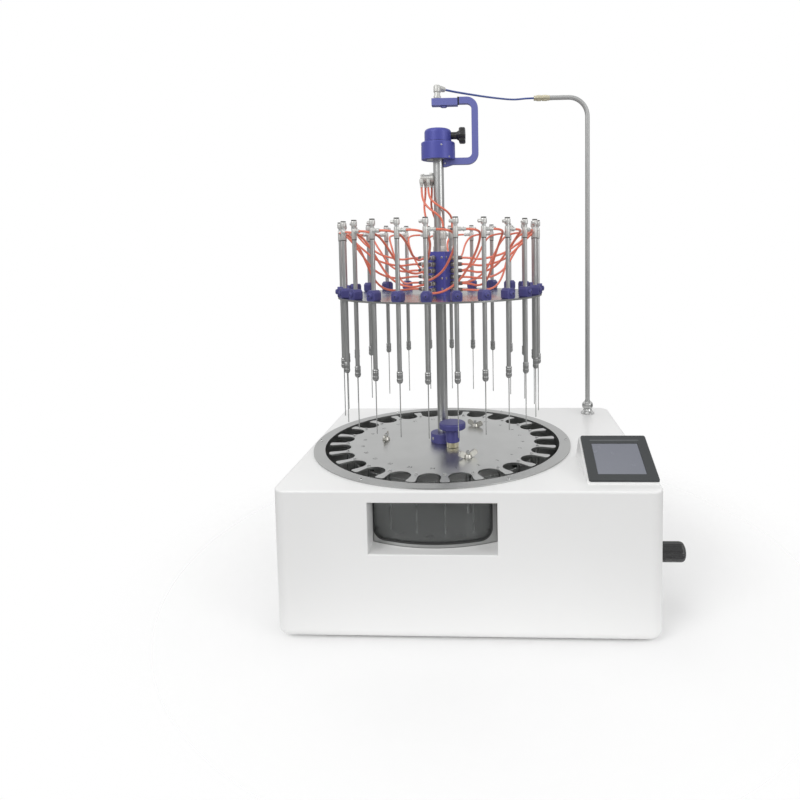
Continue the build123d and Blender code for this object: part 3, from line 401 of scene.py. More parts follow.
def moulded(name, base, roughness, grain=2600.0, depth=0.000012, contrast=0.03, coat=0.0,
            wear=None, worn=(0.3, 0.3, 0.3)):
    """Moulded plastic, rubber or a sprayed coat."""
    material, tree, shader, place = new_material(name)
    grains = use(tree, stipple(), vector=place, scale=grain)
    hands = use(tree, smudges(), vector=place, scale=15.0)["Mask"]
    surface = blended(tree, grains["Tone"], shaded(base, 1 - contrast),
                      shaded(base, 1 + contrast))
    # edges lightened: partly rubbed wear, partly painted highlight
    if wear:
        mask = use(tree, worn_edges(), vector=place, radius=wear)["Mask"]
        surface = blended(tree, mask, surface, worn)
    rough = maths(tree, "ADD", between(tree, grains["Height"], roughness - 0.04,
                                       roughness + 0.04),
                  maths(tree, "MULTIPLY", hands, 0.06))
    socket(shader, "Base Color", surface)
    socket(shader, "Roughness", rough)
    if coat:
        shader.inputs["Coat Weight"].default_value = coat
        shader.inputs["Coat Roughness"].default_value = 0.08
    bumped(tree, shader, grains["Height"], depth)
    return material


def window_glass():
    """Smoked glass with faint water marks."""
    material, tree, shader, place = new_material("window_glass")
    marks = noise(tree, place, 60.0, 4.0, 0.6)
    socket(shader, "Roughness", between(tree, marks, 0.02, 0.12))
    shader.inputs["Base Color"].default_value = (0.54, 0.56, 0.555, 1)
    shader.inputs["Transmission Weight"].default_value = 0.9
    shader.inputs["IOR"].default_value = 1.46
    bumped(tree, shader, marks, 0.00002, 0.3)
    return material


def board_face():
    """Circuit board with copper tracks under green lacquer."""
    material, tree, shader, place = new_material("board_green")
    tracks = node(tree, "ShaderNodeTexBrick", {"offset": 0.5},
                  {"Vector": place, "Scale": 260.0, "Color1": (0.02, 0.15, 0.06),
                   "Color2": (0.03, 0.20, 0.08), "Mortar": (0.10, 0.30, 0.12),
                   "Mortar Size": 0.06})
    socket(shader, "Base Color", tracks.outputs["Color"])
    socket(shader, "Roughness", between(tree, noise(tree, place, 900.0), 0.25, 0.45))
    return material


def heater_mat():
    """Silicone heater mat with its glass cloth showing through."""
    material, tree, shader, place = new_material("heater_mat")
    weave = node(tree, "ShaderNodeTexChecker", None,
                 {"Vector": place, "Scale": 900.0, "Color1": (0.42, 0.13, 0.06),
                  "Color2": (0.50, 0.18, 0.09)})
    socket(shader, "Base Color", weave.outputs["Color"])
    socket(shader, "Roughness", between(tree, weave.outputs["Fac"], 0.55, 0.68))
    bumped(tree, shader, weave.outputs["Fac"], 0.00005, 0.5)
    return material


def hose_wall(name, base, cloud):
    """Milky hose wall: glossy outside, light soaking in a little."""
    material, tree, shader, place = new_material(name)
    streaks = noise(tree, place, 260.0, 3.0)
    socket(shader, "Base Color", blended(tree, streaks, shaded(base, 0.88), shaded(base, 1.10)))
    socket(shader, "Roughness", between(tree, noise(tree, place, 1400.0), 0.28, 0.42))
    shader.inputs["Subsurface Weight"].default_value = cloud
    shader.inputs["Subsurface Radius"].default_value = (0.0012, 0.0006, 0.0005)
    shader.inputs["Subsurface Scale"].default_value = 1.0
    shader.inputs["Coat Weight"].default_value = 0.25
    shader.inputs["Coat Roughness"].default_value = 0.15
    bumped(tree, shader, streaks, 0.00001, 0.6)
    return material


def display_glass():
    """Unlit grey display behind a satin touch film."""
    material, tree, shader, place = new_material("display_glass")
    cells = node(tree, "ShaderNodeTexWave", {"wave_type": "BANDS", "bands_direction": "X"},
                 {"Vector": place, "Scale": 900.0, "Distortion": 0.0})
    base = tuple(colours().display)
    socket(shader, "Base Color", blended(tree, cells.outputs["Fac"], shaded(base, 0.97),
                                         shaded(base, 1.03)))
    film = noise(tree, place, 1800.0, 2.0)
    prints = use(tree, smudges(), vector=place, scale=55.0)["Mask"]
    socket(shader, "Roughness", maths(tree, "ADD", between(tree, film, 0.16, 0.24),
                                      maths(tree, "MULTIPLY", prints, 0.08)))
    bumped(tree, shader, film, 0.000004)
    return material


def steel(name, roughness, factor=1.0, **more):
    """Bare metal in the steel colour, made lighter or darker."""
    return metal(name, shaded(tuple(colours().steel), factor), roughness, **more)


finishes = {
    "housing_white": lambda: moulded("housing_white", tuple(colours().coat), 0.30, grain=1500.0,
                                     depth=0.000006, contrast=0.012, coat=0.25),
    "pan_steel": lambda: metal("pan_steel", (0.36, 0.37, 0.38), 0.45, marks="cast", scale=400.0,
                               contrast=0.2, metallic=0.8),
    "foot_rubber": lambda: moulded("foot_rubber", (0.025, 0.025, 0.026), 0.75, depth=0.00003,
                                   contrast=0.2),
    "bath_steel": lambda: steel("bath_steel", 0.32, 0.92, marks="turned", scale=900.0,
                                contrast=0.12, depth=0.00001),
    "window_glass": window_glass,
    "window_seal": lambda: moulded("window_seal", (0.035, 0.036, 0.036), 0.5, contrast=0.15),
    "ring_steel": lambda: steel("ring_steel", 0.36, 0.90, marks="turned", scale=1500.0,
                                contrast=0.08, wear=0.0007, worn=(0.7, 0.7, 0.7)),
    "screw_steel": lambda: steel("screw_steel", 0.22, 1.15, contrast=0.08),
    # near black: painted shade in screw recesses, slots, slits and the head's groove; also the
    # arm's joint gasket
    "shade_and_joint_black": lambda: moulded("shade_and_joint_black", (0.012, 0.012, 0.013), 0.6, contrast=0.2),
    "heater_mat": heater_mat,
    "bearing_polymer": lambda: moulded("bearing_polymer", (0.74, 0.73, 0.68), 0.42,
                                       contrast=0.04),
    "screen_black": lambda: moulded("screen_black", (0.034, 0.038, 0.040), 0.36, grain=3200.0,
                                    depth=0.000018, contrast=0.08, wear=0.0005,
                                    worn=(0.12, 0.13, 0.14)),
    "display_glass": display_glass,
    "strip_grey": lambda: moulded("strip_grey", (0.16, 0.17, 0.18), 0.25, contrast=0.05),
    "board_green": board_face,
    "inlet_black": lambda: moulded("inlet_black", (0.018, 0.018, 0.019), 0.48, contrast=0.15),
    "switch_black": lambda: moulded("switch_black", (0.016, 0.016, 0.018), 0.28, coat=0.3,
                                    contrast=0.1),
    "mark_white": lambda: moulded("mark_white", (0.75, 0.75, 0.74), 0.5, contrast=0.05),
    "valve_brass": lambda: metal("valve_brass", (0.62, 0.47, 0.22), 0.28, scale=700.0,
                                 marks="cast", contrast=0.12),
    "knob_black": lambda: moulded("knob_black", (0.016, 0.016, 0.017), 0.26, contrast=0.15,
                                  coat=0.4, wear=0.0006, worn=(0.06, 0.06, 0.065)),
    "pipe_steel": lambda: steel("pipe_steel", 0.50, 0.92, marks="cast", scale=1500.0,
                                contrast=0.03, spread=0.03, depth=0.0000002, metallic=0.6),
    "gland_steel": lambda: steel("gland_steel", 0.27, 1.05, marks="cast", scale=900.0,
                                 contrast=0.12, wear=0.0005, worn=(0.72, 0.72, 0.72)),
    "coupling_brass": lambda: metal("coupling_brass", (0.62, 0.58, 0.44), 0.38, marks="cast",
                                    scale=900.0, contrast=0.12, wear=0.0004,
                                    worn=(0.74, 0.69, 0.56)),
    "supply_hose_blue": lambda: hose_wall("supply_hose_blue", tuple(colours().supply), 0.05),
    "elbow_nickel": lambda: metal("elbow_nickel", (0.60, 0.60, 0.575), 0.42, marks="cast",
                                  metallic=0.55, scale=800.0, contrast=0.08, wear=0.0004,
                                  worn=(0.76, 0.76, 0.74)),
    "rack_steel": lambda: steel("rack_steel", 0.33, 0.98, marks="drawn",
                                stretch=(60.0, 1900.0, 60.0), contrast=0.07, wear=0.0006,
                                worn=(0.74, 0.74, 0.74), spread=0.08),
    "post_steel": lambda: steel("post_steel", 0.26, 1.05, contrast=0.1),
    "spring_steel": lambda: steel("spring_steel", 0.3, 1.0, contrast=0.1),
    "nut_steel": lambda: metal("nut_steel", (0.52, 0.51, 0.47), 0.33, marks="cast", scale=700.0,
                               contrast=0.18, wear=0.0006, worn=(0.72, 0.71, 0.67)),
    "number_ink": lambda: moulded("number_ink", (0.06, 0.06, 0.062), 0.55, contrast=0.3),
    "anodised_blue": lambda: metal("anodised_blue", tuple(colours().blue), 0.40, marks="cast",
                                   scale=2200.0, contrast=0.05, metallic=0.15, wear=0.0007,
                                   worn=(0.20, 0.21, 0.50), depth=0.000006),
    "clamp_blue": lambda: metal("clamp_blue", (0.072, 0.070, 0.24), 0.42, marks="cast",
                                scale=2200.0, contrast=0.06, metallic=0.2, wear=0.0006,
                                worn=(0.24, 0.24, 0.46), depth=0.000006),
    # its lighter edges are mostly the painted highlight of the arm's rounded edges
    "arm_blue": lambda: metal("arm_blue", tuple(colours().arm), 0.42, marks="cast",
                              scale=2200.0, contrast=0.04, metallic=0.12, wear=0.0006,
                              worn=(0.28, 0.30, 0.60), depth=0.000006),
    "column_steel": lambda: steel("column_steel", 0.30, 1.05, stretch=(2600.0, 2600.0, 25.0),
                                  contrast=0.03, depth=0.0000006, spread=0.03),
    "disc_steel": lambda: steel("disc_steel", 0.16, 1.45, marks="turned", scale=1200.0,
                                contrast=0.03, spread=0.04, depth=0.000001),
    "fitting_nickel": lambda: metal("fitting_nickel", (0.46, 0.43, 0.33), 0.27, marks="cast",
                                    scale=900.0, contrast=0.12),
    "collar_white": lambda: moulded("collar_white", (0.66, 0.64, 0.62), 0.4, contrast=0.05),
    "collar_black": lambda: moulded("collar_black", (0.13, 0.10, 0.10), 0.35, contrast=0.15),
    "hose_salmon": lambda: hose_wall("hose_salmon", tuple(colours().hose), 0.10),
    "holder_steel": lambda: steel("holder_steel", 0.30, 1.22, stretch=(2600.0, 2600.0, 30.0),
                                  contrast=0.03, depth=0.0000006, spread=0.03),
    "valve_nickel": lambda: metal("valve_nickel", (0.68, 0.68, 0.66), 0.38, marks="cast",
                                  metallic=0.7, scale=900.0, contrast=0.08, wear=0.0004,
                                  worn=(0.78, 0.78, 0.76)),
    "coupler_steel": lambda: steel("coupler_steel", 0.34, 0.88, marks="cast", scale=900.0,
                                   contrast=0.10, wear=0.0004, worn=(0.55, 0.55, 0.52)),
    "cannula_steel": lambda: steel("cannula_steel", 0.20, 1.1, contrast=0.08),
    "cap_dark": lambda: moulded("cap_dark", (0.11, 0.11, 0.105), 0.42, contrast=0.2),
}


def finish_material(name):
    """A finish's material, made when it is first asked for."""
    return bpy.data.materials.get(finish_prefix + name) or finishes[name]()


def coat_nodes(finish, *names):
    """Gives CAD nodes that keep their own shape a finish."""
    for name in names:
        slots = frame["nodes"][name].data.materials
        slots.clear()
        slots.append(finish_material(finish))


# ---------------------------------------------------------------- building meshes


def eased(profile, reach, steps=3, closed=False):
    """Rounds the corners of a turned outline, each by up to reach."""
    corners = [tuple(corner[:2]) for corner in profile]
    count = len(corners)
    result = []
    for index, corner in enumerate(corners):
        if not closed and index in (0, count - 1):
            result.append(corner)
            continue
        before = Vector(corners[index - 1])
        here = Vector(corner)
        after = Vector(corners[(index + 1) % count])
        cut = min(reach, 0.45 * (here - before).length, 0.45 * (after - here).length)
        start = here + (before - here).normalized() * cut
        end = here + (after - here).normalized() * cut
        for step in range(steps + 1):
            t = step / steps
            spot = start * (1 - t) ** 2 + here * (2 * t * (1 - t)) + end * t ** 2
            result.append(tuple(spot))
    return result


def hexed(angle):
    """Share of the corner radius that a hexagon has in a direction."""
    return math.cos(math.pi / 6) / math.cos(angle % (math.pi / 3) - math.pi / 6)


def fluted(count, depth):
    """Round outline with shallow flutes."""
    return lambda angle: 1 - depth * (0.5 - 0.5 * math.cos(count * angle)) ** 2


def frames_along(points):
    """Unturned frames along a line of points, as (point, across, up)."""
    tangents = []
    for index, point in enumerate(points):
        before = points[max(index - 1, 0)]
        after = points[min(index + 1, len(points) - 1)]
        tangents.append((after - before).normalized())
    across = tangents[0].orthogonal().normalized()
    result = []
    for index, (point, tangent) in enumerate(zip(points, tangents)):
        if index:
            across = tangents[index - 1].rotation_difference(tangent) @ across
        across = (across - tangent * across.dot(tangent)).normalized()
        result.append((point, across, tangent.cross(across)))
    return result


def arc_path(corners, radii, steps=8):
    """Points along straight runs joined by tangent arcs, for bent pipe and bar."""
    corners = [Vector(corner) for corner in corners]
    points = [corners[0]]
    for before, here, after, radius in zip(corners, corners[1:], corners[2:], radii):
        inward = (before - here).normalized()
        outward = (after - here).normalized()
        half = inward.angle(outward) / 2
        centre = here + (inward + outward).normalized() * (radius / math.sin(half))
        start = here + inward * (radius / math.tan(half)) - centre
        end = here + outward * (radius / math.tan(half)) - centre
        whole = start.rotation_difference(end)
        for step in range(steps + 1):
            turn = Matrix.Rotation(whole.angle * step / steps, 3, whole.axis)
            points.append(centre + turn @ start)
    points.append(corners[-1])
    return points


def join_loops(form, low, high):
    """Joins two closed loops of as many corners with a band of faces."""
    for index in range(len(low)):
        after = (index + 1) % len(low)
        form.faces.new((low[index], low[after], high[after], high[index]))


class Shape:
    """One piece's mesh, gathered from turned, cut and swept forms, each with its finish."""

    def __init__(self, name):
        self.name = name
        self.mesh = bmesh.new()
        self.used = []

    def take(self, form, finish, place):
        """Adds a form's faces under a finish, at a place, facing outwards."""
        if finish not in self.used:
            self.used.append(finish)
        for face in form.faces:
            face.material_index = self.used.index(finish)
        bmesh.ops.recalc_face_normals(form, faces=form.faces)
        form.transform(place)
        kept = bpy.data.meshes.new("form")
        form.to_mesh(kept)
        form.free()
        self.mesh.from_mesh(kept)
        bpy.data.meshes.remove(kept)

    def turned(self, profile, finish, place=identity, sides=32, shape=None, closed=False):
        """Turns (radius, height) corners about the z axis; shape scales the radius by angle."""
        form = bmesh.new()
        rings = []
        for radius, height in profile:
            if radius < 1e-6:
                rings.append([form.verts.new((0, 0, height))])
                continue
            ring = []
            for side in range(sides):
                angle = 2 * math.pi * side / sides
                reach = radius * shape(angle) if shape else radius
                ring.append(form.verts.new((reach * math.cos(angle), reach * math.sin(angle),
                                            height)))
            rings.append(ring)
        pairs = list(zip(rings, rings[1:]))
        if closed:
            pairs.append((rings[-1], rings[0]))
        for low, high in pairs:
            for side in range(sides):
                after = (side + 1) % sides
                corners = [low[side % len(low)], low[after % len(low)],
                           high[after % len(high)], high[side % len(high)]]
                distinct = list(dict.fromkeys(corners))
                if len(distinct) > 2:
                    form.faces.new(distinct)
        if not closed:
            for ring in (rings[0], rings[-1]):
                if len(ring) > 2:
                    form.faces.new(ring)
        self.take(form, finish, place)

    def block(self, size, finish, place=identity, edge=0.0004, segments=2):
        """Square block about its middle with softened edges."""
        form = bmesh.new()
        bmesh.ops.create_cube(form, size=1.0)
        form.transform(Matrix.Diagonal((*size, 1)))
        bmesh.ops.bevel(form, geom=form.edges, offset=edge, segments=segments, profile=0.6,
                        affect="EDGES")
        self.take(form, finish, place)

    def prism(self, outline, bottom, top, finish, place=identity, edge=0.0003, segments=2):
        """Upright prism on an outline of (x, y) corners, with softened ends."""
        form = bmesh.new()
        rings = [[form.verts.new((x, y, height)) for x, y in outline] for height in (bottom, top)]
        form.faces.new(rings[0])
        form.faces.new(rings[1])
        join_loops(form, *rings)
        bmesh.ops.recalc_face_normals(form, faces=form.faces)
        if edge:
            sharp = [e for e in form.edges if e.calc_face_angle(0) > math.radians(25)]
            bmesh.ops.bevel(form, geom=sharp, offset=edge, segments=segments, profile=0.6,
                            affect="EDGES")
        self.take(form, finish, place)

    def swept(self, points, section, finish, place=identity):
        """Sweeps a section of (across, up) corners along points, with closed ends."""
        form = bmesh.new()
        rings = []
        for point, across, up in frames_along([Vector(point) for point in points]):
            rings.append([form.verts.new(point + across * a + up * b) for a, b in section])
        for low, high in zip(rings, rings[1:]):
            join_loops(form, low, high)
        form.faces.new(rings[0])
        form.faces.new(rings[-1])
        self.take(form, finish, place)

    def mesh_object(self, smooth=32.0):
        """The finished object, standing where it was built."""
        data = bpy.data.meshes.new(self.name)
        self.mesh.to_mesh(data)
        self.mesh.free()
        for finish in self.used:
            data.materials.append(finish_material(finish))
        data.polygons.foreach_set("use_smooth", [True] * len(data.polygons))
        data.set_sharp_from_angle(angle=math.radians(smooth))
        made = bpy.data.objects.new(self.name, data)
        bpy.context.scene.collection.objects.link(made)
        return made

    def fit(self, body, slot, *replaced, smooth=32.0):
        """Rides the piece on a body and hides the CAD nodes that it stands for; the slot is not
        used.
        """
        made = self.mesh_object(smooth)
        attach(made, body)
        if replaced:
            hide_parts(*replaced)
        return made


def ring_section(radius, sides=12):
    """A round section for a swept form."""
    return [(radius * math.cos(2 * math.pi * side / sides),
             radius * math.sin(2 * math.pi * side / sides)) for side in range(sides)]


def rounded_outline(width, height, corner, steps=6, middle=(0.0, 0.0)):
    """Corners of a rectangle with round corners, about its middle."""
    result = []
    for index, (sx, sy) in enumerate(((1, 1), (-1, 1), (-1, -1), (1, -1))):
        centre = (middle[0] + sx * (width / 2 - corner), middle[1] + sy * (height / 2 - corner))
        for step in range(steps + 1):
            angle = quarter * (index + step / steps)
            result.append((centre[0] + corner * math.cos(angle),
                           centre[1] + corner * math.sin(angle)))
    return result


def along(direction, place=(0.0, 0.0, 0.0)):
    """Placement whose z axis points along a direction from a place."""
    return Matrix.Translation(place) @ pointing(direction)


def socket_screw(shape, place):
    """Domed screw head with a hexagonal recess whose floor is painted black as shade, on its seat
    at z = 0.
    """
    head, rise = mm((2.6, 1.4))
    dome = [(0.0, 0.0), (head, 0.0), (head, rise * 0.35), (head * 0.86, rise * 0.8),
            (head * 0.55, rise), (head * 0.5, rise)]
    shape.turned(dome, "screw_steel", place, 24)
    # the recess's floor is black: painted shade
    shape.turned([(head * 0.5, rise * 1.02), (head * 0.5, rise * 0.3), (0.0, rise * 0.3)],
                 "shade_and_joint_black", place, 24, shape=hexed)
    shape.turned([(head * 0.62, rise * 0.99), (head * 0.5, rise * 1.02)], "screw_steel", place, 24)


def slotted_screw(shape, place, head, rise):
    """Low round screw head with a straight slot, which is a black block of painted shade, on its
    seat at z = 0.
    """
    shape.turned(eased([(0.0, 0.0), (head, 0.0), (head, rise * 0.6), (head * 0.8, rise),
                        (0.0, rise)], rise * 0.3), "screw_steel", place, 24)
    # the slot is a black block: painted shade
    shape.block((head * 1.5, head * 0.22, rise * 0.5), "shade_and_joint_black",
                place @ Matrix.Translation((0, 0, rise * 0.8)), edge=rise * 0.05, segments=1)


# ---------------------------------------------------------------- hose routes

# in one quarter: x outwards from the manifold's face, from the needle's nipple to the outlet
needle_hose_routes = (
    (   # place half a pitch clockwise of the face, top row
        (0.1486, -0.0054, 0.52), (0.1495, 0.0015, 0.52), (0.1454, 0.0117, 0.5185),
        (0.1366, 0.0185, 0.5145), (0.1254, 0.02, 0.5044), (0.1142, 0.0174, 0.4968),
        (0.1016, 0.0135, 0.4876), (0.0851, 0.0081, 0.4825), (0.0659, 0.0031, 0.4785),
        (0.0505, 0.0, 0.4815), (0.038, 0.0, 0.4815)),
    (
        (0.1449, 0.0332, 0.52), (0.144, 0.0401, 0.52), (0.1374, 0.049, 0.5185),
        (0.1271, 0.0533, 0.5145), (0.116, 0.0516, 0.5035), (0.1064, 0.0449, 0.493),
        (0.0963, 0.0351, 0.4803), (0.0828, 0.0213, 0.4729), (0.0655, 0.0083, 0.4689),
        (0.0505, 0.0, 0.4719), (0.038, 0.0, 0.4719)),
    (
        (0.1421, -0.0437, 0.52), (0.1448, -0.0372, 0.52), (0.1435, -0.0263, 0.5185),
        (0.1367, -0.0175, 0.5145), (0.1263, -0.013, 0.5025), (0.1149, -0.0113, 0.4891),
        (0.1021, -0.0087, 0.473), (0.0853, -0.0053, 0.4633), (0.066, -0.002, 0.4593),
        (0.0505, 0.0, 0.4623), (0.038, 0.0, 0.4623)),
    (
        (0.1314, 0.0696, 0.52), (0.1287, 0.076, 0.52), (0.12, 0.0828, 0.5185),
        (0.109, 0.0843, 0.5145), (0.0988, 0.0798, 0.5016), (0.0921, 0.0697, 0.4853),
        (0.0865, 0.055, 0.4657), (0.0784, 0.034, 0.4537), (0.0646, 0.0134, 0.4497),
        (0.0505, 0.0, 0.4527), (0.038, 0.0, 0.4527)),
    (
        (0.1259, -0.079, 0.52), (0.1302, -0.0734, 0.52), (0.1318, -0.0625, 0.5185),
        (0.1276, -0.0522, 0.5145), (0.1187, -0.0451, 0.5006), (0.1086, -0.0392, 0.4814),
        (0.0978, -0.0306, 0.4584), (0.0835, -0.0186, 0.4441), (0.0656, -0.0072, 0.4401),
        (0.0505, 0.0, 0.4431), (0.038, 0.0, 0.4431)),
    (   # furthest place counterclockwise, bottom row
        (0.1089, 0.1012, 0.52), (0.1046, 0.1068, 0.52), (0.0945, 0.1111, 0.5185),
        (0.0835, 0.1097, 0.5145), (0.075, 0.1025, 0.4996), (0.0721, 0.0903, 0.4776),
        (0.0726, 0.0724, 0.4511), (0.0721, 0.0459, 0.4345), (0.0634, 0.0184, 0.4314),
        (0.0505, 0.0, 0.4335), (0.038, 0.0, 0.4335)),
)
needle_hose_lengths = (0.1405, 0.1513, 0.1515, 0.1728, 0.1700, 0.1980)
# tube place that each of a face's six hoses serves, counted from the face's own direction
needle_hose_places = (-0.5, 0.5, -1.5, 1.5, -2.5, 2.5)

# about the rack's axis: from the distributor's outlets down to the manifold's inlets
feeder_routes = (
    ((-0.0258, -0.0032, 0.5880), (-0.0258, -0.0032, 0.5780), (-0.0225, -0.0105, 0.5660),
     (-0.0145, -0.0170, 0.5560), (-0.0030, -0.0204, 0.5480), (0.00698, -0.01874, 0.5385),
     (0.00698, -0.01874, 0.5270)),
    ((-0.0206, 0.0032, 0.5880), (-0.0206, 0.0032, 0.5760), (-0.0230, 0.0010, 0.5620),
     (-0.0215, -0.0050, 0.5490), (-0.01874, -0.00698, 0.5380), (-0.01874, -0.00698, 0.5270)),
    ((-0.0156, -0.0032, 0.5880), (-0.0156, -0.0032, 0.5790), (-0.0115, -0.0110, 0.5690),
     (-0.0005, -0.0150, 0.5600), (0.0115, -0.0110, 0.5525), (0.0180, -0.0025, 0.5450),
     (0.01874, 0.00698, 0.5375), (0.01874, 0.00698, 0.5270)),
    ((-0.0110, 0.0036, 0.5880), (-0.0110, 0.0036, 0.5770), (-0.0135, 0.0105, 0.5640),
     (-0.0115, 0.0170, 0.5510), (-0.00698, 0.01874, 0.5390), (-0.00698, 0.01874, 0.5270)),
)
feeder_lengths = (0.0773, 0.0629, 0.0854, 0.0649)

# about the rack's axis: from the swivel elbow to the pipe's coupling
supply_route = (
    (0.00962, 0.01017, 0.7354), (0.0206, 0.0218, 0.7354), (0.0360, 0.0385, 0.7365),
    (0.0540, 0.0585, 0.7380), (0.0725, 0.0800, 0.7400), (0.0900, 0.1020, 0.7428),
    (0.1045, 0.1225, 0.7459), (0.1155, 0.1405, 0.7492), (0.1255, 0.1535, 0.7522),
    (0.1350, 0.1602, 0.7546), (0.1448, 0.1636, 0.7560), (0.1548, 0.1636, 0.7560))


def smooth_spline(name, route):
    """A curve of one spline that a hose's route steers, as an object."""
    curve = bpy.data.curves.new(name, "CURVE")
    curve.dimensions = "3D"
    curve.resolution_u = 8
    spline = curve.splines.new("NURBS")
    spline.points.add(len(route) - 1)
    for point, place in zip(spline.points, route):
        point.co = (*place, 1.0)
    spline.order_u = 3
    spline.use_endpoint_u = True
    return bpy.data.objects.new(name, curve)


def spline_points(name, route):
    """Points read from the route's own spline."""
    guide = smooth_spline(name + "_line", route)
    line = bpy.data.meshes.new_from_object(guide)
    points = [vertex.co.copy() for vertex in line.vertices]
    curve = guide.data
    bpy.data.meshes.remove(line)
    bpy.data.objects.remove(guide)
    bpy.data.curves.remove(curve)
    return points


def hose_tube(name, route):
    """A mesh hose along a route, and the points that it follows."""
    points = spline_points(name, route)
    shape = Shape(name)
    shape.swept(points, ring_section(sizes().hose_diameter / 2), "hose_salmon")
    return shape.mesh_object(60.0), points


# ---------------------------------------------------------------- operators


class EVAPORATOR_OT_camera(bpy.types.Operator):
    """Set up the camera in front of the instrument"""

    bl_idname = "evaporator.camera"
    bl_label = "Camera"

    place = Vector((0.01279, -0.94929, 0.49253))
    turn = (85.9289, 0.8137, 2.4899)
    shift = (-0.08382, -0.13251)

    def execute(self, context):
        data = bpy.data.cameras.new("camera")
        data.lens = context.scene.evaporator_stage.lens
        data.shift_x, data.shift_y = self.shift
        data.clip_start = 0.01
        camera = bpy.data.objects.new("camera", data)
        camera.location = self.place
        camera.rotation_euler = [math.radians(angle) for angle in self.turn]
        context.scene.collection.objects.link(camera)
        context.scene.camera = camera
        return {"FINISHED"}


class EVAPORATOR_OT_hoses(bpy.types.Operator):
    """Lay the needle hoses, the feeders and the supply hose"""

    bl_idname = "evaporator.hoses"
    bl_label = "Gas hoses"

    def needle_hose(self, face, index):
        """One hose from a needle's nipple to the manifold."""
        place = about(face_angle(face))
        route = [place @ Vector(point) for point in needle_hose_routes[index]]
        steps = (face_angle(face) - place_angle(0)) / pitch + needle_hose_places[index]
        number = round(steps) % place_count + 1
        piece, points = hose_tube(f"needle_hose_{number:02d}", route)
        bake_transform(piece)
        self.declare(piece, points, needle_hose_lengths[index])

    def feeder(self, index):
        """One hose from the distributor to the manifold's top."""
        place = about(0.0)
        route = [place @ Vector(point) for point in feeder_routes[index]]
        piece, points = hose_tube(f"feeder_hose_{index + 1}", route)
        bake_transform(piece)
        self.declare(piece, points, feeder_lengths[index])

    def declare(self, piece, points, cut_length):
        """Hides the CAD hoses that the salmon hoses stand for; the piece, its points and the cut
        length are not used.
        """
        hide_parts("gas_hoses")

    def supply(self):
        """The blue hose from the pipe's coupling to the swivel elbow."""
        place = about(0.0)
        route = [place @ Vector(point) for point in supply_route]
        piece = smooth_spline("supply_line_hose", route)
        piece.data.bevel_depth = sizes().hose_diameter / 2
        piece.data.bevel_resolution = 4
        piece.data.use_fill_caps = True
        piece.data.materials.append(finish_material("supply_hose_blue"))
        bpy.context.scene.collection.objects.link(piece)
        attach(piece, "base")
        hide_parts("supply_hose")

    def execute(self, context):
        for face in range(face_count):
            for index in range(len(needle_hose_routes)):
                self.needle_hose(face, index)
        for index in range(len(feeder_routes)):
            self.feeder(index)
        self.supply()
        return {"FINISHED"}


class EVAPORATOR_OT_housing(bpy.types.Operator):
    """Coat the housing, its base pan and its feet"""

    bl_idname = "evaporator.housing"
    bl_label = "Housing"

    def execute(self, context):
        coat_nodes("housing_white", "housing_shell")
        coat_nodes("pan_steel", "base_pan")
        low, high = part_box("rubber_feet")
        feet = Shape("bench_feet")
        radius = 0.012
        for x in (low.x + radius, high.x - radius):
            for y in (low.y + radius, high.y - radius):
                place = Matrix.Translation((x, y, 0))
                feet.turned(eased(mm([(0, 1.2), (4.2, 1.2), (4.8, 0), (10.5, 0), (12, 1.5), (12, 6),
                                      (0, 6)]), 0.0006), "foot_rubber", place, 36)
                feet.turned(mm([(0, 1.3), (2.6, 1.3), (2.6, 1.0), (0, 1.0)]), "screw_steel",
                            place, 20)
        feet.fit("base", "foot_rubber", "rubber_feet")
        return {"FINISHED"}


